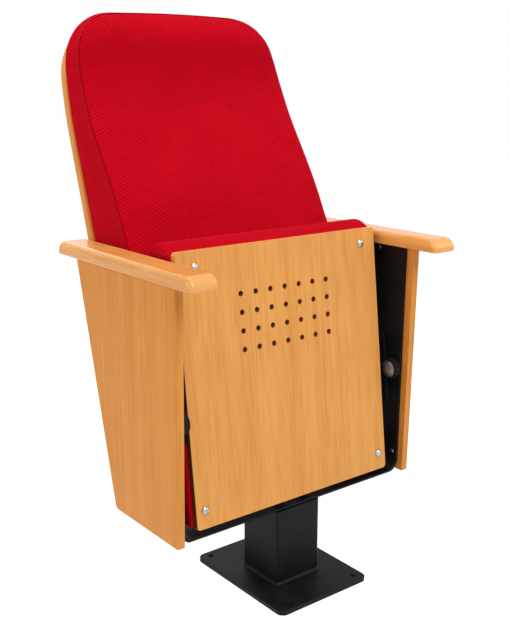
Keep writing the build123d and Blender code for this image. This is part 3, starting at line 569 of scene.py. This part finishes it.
def puff(pad, cap):
    # cloth under air pressure, held at the back; no point moves past the cap
    start = [vert.co.copy() for vert in pad.data.vertices]
    held = pad.data.attributes["held"].data
    group = pad.vertex_groups.new(name="heldPoints")
    group.add([i for i, mark in enumerate(held) if mark.value > 0.5], 1.0, "REPLACE")
    cloth = pad.modifiers.new("cloth", "CLOTH")
    for key, value in clothRun.items():
        setattr(cloth.settings, key, value)
    cloth.settings.effector_weights.gravity = 0
    cloth.settings.vertex_group_mass = group.name
    for number in range(1, clothFrames + 1):
        scene.frame_set(number)
    graph = bpy.context.evaluated_depsgraph_get()
    moved = [vert.co.copy() for vert in pad.evaluated_get(graph).data.vertices]
    pad.modifiers.remove(cloth)
    pad.vertex_groups.clear()
    scene.frame_set(1)
    farthest = 0
    for vert, before, after in zip(pad.data.vertices, start, moved):
        move = after - before
        vert.co = before + move * (cap / (cap + move.length))
        farthest = max(farthest, move.length)
    print(f"{pad.name} puffed, {farthest / mm:.1f} mm before the cap")


seamSink = {"least": 0.02, "power": 1.5}  # of the mark that fades from the seam


def sewSeam(pad, depth):
    # the seam's points sink along their normals, after the last subdivision
    pad.modifiers.new("smooth", "SUBSURF").levels = 1
    pad.modifiers["smooth"].render_levels = 1
    bake(pad)
    for vert, mark in zip(pad.data.vertices, pad.data.attributes["seam"].data):
        if mark.value > seamSink["least"]:
            vert.co -= vert.normal * depth * mark.value ** seamSink["power"]


# seat cushion: drawn in the tipped-up seat's own plane
seatPad = {
    "tilt": 6.72, "foot": (0, -50.6, 167.7),  # lower edge of the panel's outer face
    "halfWidth": 226, "profileLength": 620,
    "profileFoot": (4, 10.3), "heel": (1, 44), "faceRear": (22, 78), "faceMiddle": (236, 90),
    "faceFront": (450, 83), "nose": (485, 45), "profileHead": (464, 10.3),  # rise, depth
    "arcSteps": (24, 80, 30), "sideKnots": [0, 1.6, 3.6, 6.2, 10, 16], "endKnots": [0, 3, 7],
    "crown": 8, "crownMiddle": 236, "crownReach": 226, "crownDepth": 60,
    "roll": 10, "tuckRows": 3, "gussetDraw": -3.5, "step": 9,
    "gussetShares": [0, 0.03, 0.08, 0.18, 0.34, 0.5, 0.66, 0.83, 1],
    "pocket": (215.4, 7.5, 458.9, 34.3),  # half width, low, high, depth
    "slot": (192.88, 43.7, 15.5),  # the hinge flange's slot: rise, half, depth
    "rearWall": 0.5, "mapShift": 0.5, "mapSlant": 0,
    "cap": 4, "seamDepth": 0.9, "fill": 0.9,
}


def seatPoint(x, rise, depth=0.0):
    # from the foot of the seat panel's outer face, with the seat tipped up
    tilt = radians(seatPad["tilt"])
    up, inward = Vector((0, sin(tilt), cos(tilt))), Vector((0, cos(tilt), -sin(tilt)))
    return (Vector(seatPad["foot"]) + Vector((x, 0, 0)) + up * rise + inward * depth) * mm


def buildSeatPad():
    look = seatPad
    heelSteps, faceSteps, noseSteps = look["arcSteps"]
    outline = arcThrough(look["profileFoot"], look["heel"], look["faceRear"], heelSteps)[:-1]
    outline += arcThrough(look["faceRear"], look["faceMiddle"], look["faceFront"], faceSteps)[:-1]
    outline += arcThrough(look["faceFront"], look["nose"], look["profileHead"], noseSteps)
    half, roll = look["halfWidth"], look["roll"]
    columns = knots(2 * half, look["sideKnots"], look["step"])
    rows = knots(look["profileLength"], look["endKnots"], look["step"])
    profile, length = resample(outline, rows)
    lastI, lastJ = len(columns) - 1, len(rows) - 1
    normals = []
    for j in range(len(rows)):
        (r0, d0), (r1, d1) = profile[max(j - 1, 0)], profile[min(j + 1, lastJ)]
        size = hypot(r1 - r0, d1 - d0)
        normals.append((-(d1 - d0) / size, (r1 - r0) / size))
    front, rear = [], []
    pocketHalf, pocketLow, pocketHigh, pocketDepth = look["pocket"]
    slotRise, slotHalf, slotDepth = look["slot"]
    wall = look["rearWall"]
    for i, a in enumerate(columns):
        x = half * (2 * a - 1)
        inset = roll - sqrt(max(roll**2 - (roll - min(half - abs(x), roll)) ** 2, 0))
        crown = look["crown"] * (1 - (x / half) ** 2)
        fromSide = min(i, lastI - i)
        rearX = half if fromSide == 0 else pocketHalf + wall if fromSide == 1 else \
            pocketHalf * (1 - 2 * (fromSide - 2) / (lastI - 4))
        rearX = rearX if x > 0 else -rearX
        frontColumn, rearColumn = [], []
        for j, (rise, depth) in enumerate(profile):
            fromEnd, low = min(j, lastJ - j), j < len(rows) / 2
            swell = max(0, 1 - ((rise - look["crownMiddle"]) / look["crownReach"]) ** 2)
            swell = crown * swell if depth > look["crownDepth"] else 0
            tuck = inset * min(1, fromEnd / look["tuckRows"])  # the ends stay on the panel
            frontColumn.append(seatPoint(x, rise - normals[j][0] * tuck,
                                         depth + swell - normals[j][1] * tuck))
            if fromEnd == 0:
                rearRise = look["profileFoot" if low else "profileHead"][0]
            elif fromEnd == 1:
                rearRise = pocketLow - wall if low else pocketHigh + wall
            else:
                rearRise = between(pocketLow, pocketHigh, (j - 2) / (lastJ - 4))
            rim = fromSide <= 1 or fromEnd <= 1
            inSlot = fromSide <= 1 and fromEnd > 1 and abs(rearRise - slotRise) < slotHalf
            rearDepth = slotDepth if inSlot else look["profileFoot"][1] if rim else pocketDepth
            rearColumn.append(seatPoint(rearX, rearRise, rearDepth))
        front.append(frontColumn)
        rear.append(rearColumn)

    def frontMap(i, j):
        return half * (2 * columns[i] - 1) * mm, rows[j] * length * mm

    def drawIn(point, _):
        draw = look["gussetDraw"] * mm
        return Vector((-draw if point.x > 0 else draw, 0, 0))

    return makePad("seatCushion", look, front, rear, frontMap, drawIn, {"left", "right"},
                   [seatRed, seatSideRed])


seatCushion = buildSeatPad()
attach(seatCushion, "seat")
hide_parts("seat_cushion")
print("seat cushion made")


# back cushion: follows the shell's curve, with a lumbar swell and a top roll
backPad = {
    "lean": 17.75, "lineY": 270.5, "lineZ": 620,  # a point on the shell's rear face
    "bendStart": 800, "bendRadius": 540, "shell": 16,
    "halfWidth": 227, "bottom": 468, "top": 1010.8, "crownTop": 7,
    "cornerRadius": 93, "cornerStep": 3,  # mm and degrees
    "faceSpread": [(640, 4.5), (820, 3.2), (860, 1.5), (900, -1), (940, -4.2), (985, -3),
                   (1010, -5)],  # by height
    "bottomDepth": 78, "lumbar": (545, 114.5), "waist": (620, 116.5),  # height, depth
    "shoulder": (800, 72), "head": (972, 29), "tip": 1026, "tipBase": 1000,
    "chest": (560, 850, 6.5),  # a swell between two heights
    "arcSteps": 40, "slopeSteps": 30, "sideSteps": 40, "topSteps": 20,
    "edgeKnots": [0, 2.0, 4.4, 7.6, 12, 18, 25], "step": 9.5,
    "roll": 34, "rollRise": 9, "crown": 5, "tipFade": 60, "tipShare": 0.35,
    "gussetDraw": 1.8, "gussetRise": 0.5, "mapShift": 0.7, "mapSlant": 0.3,
    "gussetShares": [0, 0.025, 0.06, 0.13, 0.25, 0.38, 0.5, 0.62, 0.75, 0.88, 1],
    "board": (194, 478, 952, 6.8), "boardEdge": 9,  # half width, low, high, depth
    "bracket": (197, 487, 570, 4.7), "clear": 0.3,
    "cap": 4, "seamDepth": 2.2, "fill": 0.9,
}


def shellY(z, inset):
    # the shell's side profile, moved forward square to it by inset
    look = backPad
    lean, radius = radians(look["lean"]), look["bendRadius"] - inset
    bendStartY = look["lineY"] + (look["bendStart"] - look["lineZ"]) * tan(lean)
    centreY = bendStartY - look["bendRadius"] * cos(lean)
    bendEnd = look["bendStart"] + look["bendRadius"] * sin(lean)
    if z > bendEnd:
        return centreY + radius
    if z > look["bendStart"] + inset * sin(lean):
        return centreY + sqrt(radius**2 - (bendEnd - z) ** 2)
    return look["lineY"] + (z - look["lineZ"]) * tan(lean) - inset / cos(lean)


def tangentArc(start, heading, end, count):
    # points on the arc that leaves start along heading and ends at end
    across = Vector((-heading[1], heading[0])).normalized()
    chord = Vector((end[0] - start[0], end[1] - start[1]))
    radius = chord.length_squared / (2 * chord.dot(across))
    centre = Vector(start) + across * radius
    first = Vector(start) - centre
    whole = 2 * asin(max(-1, min(1, chord.length / (2 * radius))))

    def turned(x, y, turn):
        return x * cos(turn) - y * sin(turn), x * sin(turn) + y * cos(turn)

    points = []
    for i in range(1, count + 1):
        x, y = turned(first.x, first.y, whole * i / count)
        points.append((centre.x + x, centre.y + y))
    return points, turned(*heading, whole)


def backSection():
    # front profile from the lower edge to the tip, as (y, z)
    look = backPad

    def ahead(z, depth):
        return shellY(z, look["shell"]) - depth, z
    low, lumbar = ahead(look["bottom"], look["bottomDepth"]), ahead(*look["lumbar"])
    waist, shoulder, head = (ahead(*look[part]) for part in ("waist", "shoulder", "head"))
    tip = (shellY(look["tipBase"], look["shell"]), look["tip"])
    points = arcThrough(low, lumbar, waist, look["arcSteps"])
    for t in range(1, look["slopeSteps"] + 1):
        points.append(tuple(between(a, b, t / look["slopeSteps"])
                            for a, b in zip(waist, shoulder)))
    slope = Vector((shoulder[0] - waist[0], shoulder[1] - waist[1])).normalized()
    chest, leave = tangentArc(shoulder, slope, head, look["arcSteps"])
    crest, _ = tangentArc(head, leave, tip, look["arcSteps"])
    start, end, swell = look["chest"]
    return [(y - swell * sin(pi * min(1, max(0, (z - start) / (end - start)))) ** 2, z)
            for y, z in points + chest + crest]


def buildBackPad():
    look = backPad
    section = backSection()
    lengths = lengthsAlong(section)

    def sectionAt(z):
        # y and arc length of the front profile at height z
        for k in range(len(section) - 1):
            (y0, z0), (y1, z1) = section[k:k + 2]
            if z0 <= z <= z1 or k == len(section) - 2:
                t = (z - z0) / max(z1 - z0, 1e-6)
                return between(y0, y1, t), between(lengths[k], lengths[k + 1], t)

    half, corner = look["halfWidth"], look["cornerRadius"]
    low, top = look["bottom"], look["top"]
    cornerX = half - corner

    def crest(x):
        return top + look["crownTop"] * (1 - (x / half) ** 2)

    cornerZ = crest(cornerX) - corner
    cornerArc = [(cornerX + corner * cos(radians(a)), cornerZ + corner * sin(radians(a)))
                 for a in range(0, 91, look["cornerStep"])]
    halfway, sideSteps, topSteps = len(cornerArc) // 2, look["sideSteps"], look["topSteps"]
    rightSide = [(half, low + (cornerZ - low) * t / sideSteps) for t in range(sideSteps)]
    rightSide += cornerArc[:halfway + 1]
    topHalf = cornerArc[halfway:]
    for t in range(1, topSteps + 1):
        x = cornerX * (1 - t / topSteps)
        topHalf.append((x, crest(x)))
    topLine = [(-x, z) for x, z in topHalf[:-1]] + topHalf[::-1]
    columns = knots(2 * half, look["edgeKnots"], look["step"])
    rows = knots(top - low, look["edgeKnots"], look["step"])
    rightPoints, _ = resample(rightSide, rows)
    topPoints, _ = resample(topLine, columns)
    cx, cz = rightPoints[-1]
    grid = [[(b * tx + (2 * a - 1) * (rx - b * cx), rz + b * (tz - cz))
             for b, (rx, rz) in zip(rows, rightPoints)]
            for a, (tx, tz) in zip(columns, topPoints)]  # (x, z) between the four sides

    def edgeDistance(x, z):
        # from the outline, inwards
        x = abs(x)
        if x > cornerX and z > cornerZ:
            return max(0, corner - hypot(x - cornerX, z - cornerZ))
        return max(0, min(half - x, crest(x) - z))

    def faceSpread(z):
        # the face's extra half width over the rear's at height z
        table = look["faceSpread"]
        for (z0, s0), (z1, s1) in zip(table, table[1:]):
            if z < z1:
                return between(s0, s1, max(0, (z - z0) / (z1 - z0)))
        return table[-1][1]

    boardHalf, boardLow, boardHigh, boardDepth = look["board"]
    bracketIn, bracketLow, bracketHigh, bracketDepth = look["bracket"]
    clear, front, rear = look["clear"], [], []
    for places in grid:
        frontColumn, rearColumn = [], []
        for x, z in places:
            y, _ = sectionAt(z)
            share = min(edgeDistance(x, z) / look["roll"], (z - low) / look["roll"], 1)
            swell = look["rollRise"] * sqrt(max(0, 1 - (1 - share) ** 2))
            swell += look["crown"] * (1 - (x / half) ** 2) * share
            fade = min(1, max(0, (look["tip"] - z) / look["tipFade"]))
            swell *= between(look["tipShare"], 1, fade)
            wide = 1 + faceSpread(z) / half
            frontColumn.append(Vector((x * wide, y - swell, z)) * mm)
            away = max(abs(x) - boardHalf, boardLow - z, z - boardHigh, 0)
            depth = between(clear, boardDepth, 1 - min(away / look["boardEdge"], 1))
            if abs(x) > bracketIn and bracketLow < z < bracketHigh:
                depth = max(depth, bracketDepth)
            rearColumn.append(Vector((x, shellY(z, look["shell"] + depth), z)) * mm)
        front.append(frontColumn)
        rear.append(rearColumn)

    def frontMap(i, j):
        x, z = grid[i][j]
        return x * mm, sectionAt(z)[1] * mm

    def drawIn(point, middle):
        inward = Vector((middle.x - point.x, 0, (middle.z - point.z) * look["gussetRise"]))
        return inward.normalized() * look["gussetDraw"] * mm

    return makePad("backCushion", look, front, rear, frontMap, drawIn,
                   {"left", "right", "high", "low"}, [ribbedRed, plainRed])


backCushion = buildBackPad()
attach(backCushion, "stand")
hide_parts("back_cushion")
print("back cushion made")


# screws: Geometry Nodes put a round head and its shank at each place
def pointCloud(name, places):
    # loose points, each with the direction that its piece faces
    data = bpy.data.meshes.new(name)
    data.from_pydata([place for place, _ in places], [], [])
    aims = data.attributes.new("aim", "FLOAT_VECTOR", "POINT")
    for item, (_, aim) in zip(aims.data, places):
        item.vector = aim
    return addObject(name, data)


def newRecipe(name, sizes):
    # a Geometry Nodes tree with named inputs, and their identifiers
    tree = bpy.data.node_groups.new(name, "GeometryNodeTree")
    identifiers = {}
    tree.interface.new_socket("Geometry", in_out="OUTPUT", socket_type="NodeSocketGeometry")
    for title, kind in {"Geometry": "Geometry", **sizes}.items():
        socket = tree.interface.new_socket(title, in_out="INPUT", socket_type="NodeSocket" + kind)
        identifiers[title] = socket.identifier
    recipe = Web(tree)
    source = tree.nodes.new("NodeGroupInput")
    inputs = {socket.name: Wire(recipe, socket) for socket in source.outputs if socket.name}
    return recipe, inputs, identifiers


def vector(recipe, x=0.0, y=0.0, z=0.0):
    return recipe.node("ShaderNodeCombineXYZ", {0: x, 1: y, 2: z})


def raised(recipe, shape, height):
    return recipe.node("GeometryNodeTransform", {0: shape, "Translation": vector(recipe, z=height)})


def facingAim(recipe):
    # turns a piece's own up to each point's aim
    aim = recipe.node("GeometryNodeInputNamedAttribute", {"Name": "aim"},
                      data_type="FLOAT_VECTOR")
    return recipe.node("FunctionNodeAlignRotationToVector", {"Vector": aim}, axis="Z")


def finishRecipe(recipe, inputs, piece, turned):
    # the piece at each point, realized, with its material, and out
    spread = recipe.node("GeometryNodeInstanceOnPoints", {
        "Points": inputs["Geometry"], "Instance": piece, "Rotation": turned})
    real = recipe.node("GeometryNodeRealizeInstances", {0: spread})
    done = recipe.node("GeometryNodeSetMaterial", {0: real, 2: inputs["Material"]})
    recipe.end("NodeGroupOutput", done, 0)


screwInputs = {"Head radius": "Float", "Head height": "Float", "Shank radius": "Float",
               "Shank length": "Float", "Seed": "Int", "Material": "Material"}
screwFacets = {"segments": 40, "rings": 24, "shankSides": 24}


def screwRecipe():
    recipe, size, identifiers = newRecipe("roundHeadScrews", screwInputs)
    node = recipe.node
    radius, height, length = size["Head radius"], size["Head height"], size["Shank length"]
    ball = node("GeometryNodeMeshUVSphere", {
        "Segments": screwFacets["segments"], "Rings": screwFacets["rings"], "Radius": 1.0})
    scale = vector(recipe, radius, radius, height)
    dome = node("GeometryNodeTransform", {0: ball, "Scale": scale})
    upper = node("GeometryNodeMeshCube", {
        "Size": vector(recipe, radius * 3, radius * 3, height * 2)})
    head = node("GeometryNodeMeshBoolean", {1: dome}, operation="INTERSECT")
    recipe.plug(head.socket.node.inputs[1], raised(recipe, upper, height))
    shank = node("GeometryNodeMeshCylinder", {
        "Vertices": screwFacets["shankSides"], "Radius": size["Shank radius"], "Depth": length})
    screw = node("GeometryNodeJoinGeometry", {0: head})
    recipe.plug(screw.socket.node.inputs[0], raised(recipe, shank, length * -0.5))
    spin = node("FunctionNodeRandomValue", {2: 0.0, 3: pi / 2, "Seed": size["Seed"]}, 1,
                data_type="FLOAT")
    twist = node("FunctionNodeAxisAngleToRotation", {"Axis": (0, 0, 1), "Angle": spin})
    turned = node("FunctionNodeRotateRotation", {0: facingAim(recipe), 1: twist},
                  rotation_space="LOCAL")
    finishRecipe(recipe, size, screw, turned)
    return recipe.tree, identifiers


recipeSharp = 35  # degrees between faces that stay sharp


def runRecipe(piece, made, values):
    # values go in by the sockets' identifiers, and the result becomes a plain mesh
    tree, identifiers = made
    modifier = piece.modifiers.new("recipe", "NODES")
    modifier.node_group = tree
    for title, value in values.items():
        modifier[identifiers[title]] = value
    bake(piece)
    for poly in piece.data.polygons:
        poly.use_smooth = True
    piece.data.set_sharp_from_angle(angle=radians(recipeSharp))


screwTree = screwRecipe()


def makeScrews(name, places, look, finish):
    screws = pointCloud(name, places)
    runRecipe(screws, screwTree, {
        "Head radius": look["radius"] * mm, "Head height": look["height"] * mm,
        "Shank radius": look["shank"] * mm, "Shank length": look["length"] * mm,
        "Seed": look["seed"], "Material": finish})
    return screws


seatOut = Vector((0, -cos(radians(seatPad["tilt"])), sin(radians(seatPad["tilt"]))))
seatScrews = {"top": (185.3, 438.9), "bottom": (203.3, 32.0),  # off centre, rise
              "radius": 7.6, "height": 5.4, "shank": 2.5, "length": 26, "seed": 3}
seatHeads = makeScrews("seatPanelScrews", [
    (seatPoint(side * x, rise), seatOut)
    for x, rise in (seatScrews["top"], seatScrews["bottom"]) for side in (-1, 1)
], seatScrews, zinc)
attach(seatHeads, "seat")
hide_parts("seat_panel_screws")

panelScrews = {
    "underside": 154, "armrest": 598, "front": (-61.5, -70.5),
    "rear": (136.5, 245.5), "innerX": 249,  # front and rear edges, low and high
    "high": (590, 82, 53), "low": (190, 22, 45),  # height, front and rear inset
    "radius": 4.5, "height": 2.6, "shank": 2.0, "length": 17, "seed": 5,
}


def panelScrewPlaces():
    look, out = panelScrews, []
    for z, frontInset, rearInset in (look["high"], look["low"]):
        share = (z - look["underside"]) / (look["armrest"] - look["underside"])
        frontY = between(*look["front"], share) + frontInset
        rearY = between(*look["rear"], share) - rearInset
        for y in (frontY, rearY):
            for side in (-1, 1):
                out.append((Vector((side * look["innerX"], y, z)) * mm, Vector((-side, 0, 0))))
    return out


shellScrews = {
    "x": 214, "foot": 400, "drop": 32.3, "bracket": 100, "margin": 22,
    "radius": 6, "height": 3.2, "shank": 2.5, "length": 20, "seed": 8,
}


def shellScrewPlaces():
    look, lean = shellScrews, radians(backPad["lean"])
    end = (panelScrews["armrest"] - look["drop"] - look["foot"]) / cos(lean)
    footY = shellY(look["foot"], backPad["shell"])
    up, ahead = Vector((0, sin(lean), cos(lean))), Vector((0, -cos(lean), sin(lean)))
    foot = Vector((0, footY, look["foot"]))
    out = []
    for rise in (end - look["bracket"] + look["margin"], end - look["margin"]):
        for side in (-1, 1):
            place = foot + up * rise - ahead * backPad["shell"] + Vector((side * look["x"], 0, 0))
            out.append((place * mm, -ahead))
    return out


panelHeads = makeScrews("sidePanelScrews", panelScrewPlaces(), panelScrews, springSteel)
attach(panelHeads, "stand")
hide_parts("panel_screws_right", "panel_screws_left")

shellHeads = makeScrews("backShellScrews", shellScrewPlaces(), shellScrews, zinc)
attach(shellHeads, "stand")
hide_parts("shell_screws")
print("screws made")


# sound holes: a dark drilled wall in each, its darkness painted shade inside the hole
soundHoles = {
    "radius": 4.97, "wall": 0.35, "depth": 9.4, "pitch": 32, "columns": 7, "rows": 4,
    "middle": 335.8, "setBack": 0.35, "sides": 32,
}
holeInputs = {"Radius": "Float", "Wall": "Float", "Depth": "Float", "Material": "Material"}


def holeRecipe():
    recipe, size, identifiers = newRecipe("drilledWalls", holeInputs)
    path = recipe.node("GeometryNodeCurvePrimitiveCircle", {
        "Resolution": soundHoles["sides"], "Radius": size["Radius"] - size["Wall"] * 0.5,
    }, mode="RADIUS")
    section = recipe.node("GeometryNodeCurvePrimitiveQuadrilateral", {
        0: size["Wall"], 1: size["Depth"]}, mode="RECTANGLE")
    tube = recipe.node("GeometryNodeCurveToMesh", {0: path, 1: section})
    sleeve = raised(recipe, tube, size["Depth"] * -0.5)
    finishRecipe(recipe, size, sleeve, facingAim(recipe))
    return recipe.tree, identifiers


holePlaces = []
for column in range(soundHoles["columns"]):
    for row in range(soundHoles["rows"]):
        x = (column - (soundHoles["columns"] - 1) / 2) * soundHoles["pitch"]
        rise = soundHoles["middle"] + (row - (soundHoles["rows"] - 1) / 2) * soundHoles["pitch"]
        holePlaces.append((seatPoint(x, rise, soundHoles["setBack"]), seatOut))
holeWalls = pointCloud("soundHoleWalls", holePlaces)
runRecipe(holeWalls, holeRecipe(), {
    "Radius": soundHoles["radius"] * mm, "Wall": soundHoles["wall"] * mm,
    "Depth": soundHoles["depth"] * mm, "Material": holeShadeWood})
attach(holeWalls, "seat")
print("sound holes lined")


# caps over the hinge pins: a turned dome with a rolled rim
hingeCap = {
    "pivot": (-34.4, 360), "baseX": 235.2, "radius": 16.3, "rim": 1.3, "height": 7.4,
    "footBevel": 0.4, "rimBevel": 0.3, "domeSteps": 14, "domeShare": 0.985,
    "pinRadius": 6.05, "pinInnerX": 232.9, "sides": 64, "sharp": 40,
}


def buildCaps():
    look = hingeCap
    y0, z0 = look["pivot"]
    radius, rim, sides, bevel = look["radius"], look["rim"], look["sides"], look["rimBevel"]
    bore = look["baseX"] - look["pinInnerX"]
    swell = look["height"] - rim
    ball = (radius**2 + swell**2) / (2 * swell)
    profile = [(bore, 0.0), (bore, look["pinRadius"]), (0.0, look["pinRadius"]),
               (0.0, radius - look["footBevel"]), (bevel, radius), (rim - bevel, radius)]
    for n in range(1, look["domeSteps"] + 1):
        r = radius * (1 - n / look["domeSteps"]) * look["domeShare"]
        profile.append((look["height"] - ball + sqrt(ball**2 - r**2), r))
    mesh = bmesh.new()
    for side in (-1, 1):
        rings = []
        for depth, r in profile:
            x = side * (look["baseX"] - depth)
            turns = [2 * pi * k / sides for k in range(sides if r > 0 else 1)]
            rings.append([mesh.verts.new(Vector((x, y0 + r * cos(a), z0 + r * sin(a))) * mm)
                          for a in turns])
        for one, two in zip(rings, rings[1:]):
            for k in range(sides):
                k2 = (k + 1) % sides
                corners = [one[k % len(one)], one[k2 % len(one)], two[k2 % len(two)],
                           two[k % len(two)]]
                mesh.faces.new(list(dict.fromkeys(corners))).smooth = True
    data = endMesh(mesh, "hingeCaps", chrome)
    data.set_sharp_from_angle(angle=radians(look["sharp"]))
    return addObject("hingeCaps", data)


hingeCaps = buildCaps()
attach(hingeCaps, "stand")
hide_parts("pivot_cap_right", "pivot_cap_left")
print("hinge caps made")


# floor, world and lamps
studio = {
    "floorSize": 14.0, "floorColor": (0.90, 0.90, 0.90, 1), "white": (1, 1, 1, 1),
    "glow": 1.3, "glowShare": 0.72, "worldLevel": 0.26,
    "lamps": {
        "key": ((-0.4, -2.8, 3.0), (0, 0, 0.55), 1.8, 68),
        "left": ((-3.0, 0.7, 1.5), (0, 0, 0.55), 1.8, 35),
        "right": ((2.6, -1.8, 1.9), (0, 0, 0.6), 1.4, 14),
        "top": ((0.0, 0.1, 3.2), (0, 0.1, 0.5), 1.8, 37),
        "back": ((0.6, 3.0, 2.2), (0, 0, 0.6), 1.8, 12),
    },  # place, target, size, watts
}
ground = bpy.data.meshes.new("floor")
reach = studio["floorSize"] / 2
ground.from_pydata([(-reach, -reach, 0), (reach, -reach, 0), (reach, reach, 0),
                    (-reach, reach, 0)], [], [(0, 1, 2, 3)])
floor = addObject("floor", ground)
floorMaterial = bpy.data.materials.new("paleFloor")
floorMaterial.use_nodes = True
floorWeb = Web(floorMaterial.node_tree)
matte = floorWeb.node("ShaderNodeBsdfDiffuse", {"Color": studio["floorColor"]})
glow = floorWeb.node("ShaderNodeEmission", {
    "Color": studio["white"], "Strength": studio["glow"]})
seen = floorWeb.seenBy("Is Camera Ray", "Is Glossy Ray")
mixed = floorWeb.node("ShaderNodeMixShader", {
    0: seen * studio["glowShare"], 1: matte, 2: glow})
floorWeb.end("ShaderNodeOutputMaterial", mixed)
ground.materials.append(floorMaterial)

world = bpy.data.worlds.new("studio")
scene.world = world
world.use_nodes = True
sky = Web(world.node_tree)
seen = sky.seenBy("Is Camera Ray", "Is Glossy Ray", "Is Transmission Ray")
level = studio["worldLevel"] + seen * (1 - studio["worldLevel"])
air = sky.node("ShaderNodeBackground", {"Color": studio["white"], "Strength": level})
sky.end("ShaderNodeOutputWorld", air)

for lampName, (spot, target, size, watts) in studio["lamps"].items():
    lampData = bpy.data.lights.new(lampName, "AREA")
    lampData.shape = "SQUARE"
    lampData.size = size
    lampData.energy = watts
    lamp = addObject(lampName, lampData)
    lamp.location = spot
    lamp.rotation_euler = (Vector(target) - Vector(spot)).to_track_quat("-Z", "Y").to_euler()
print("studio lit")
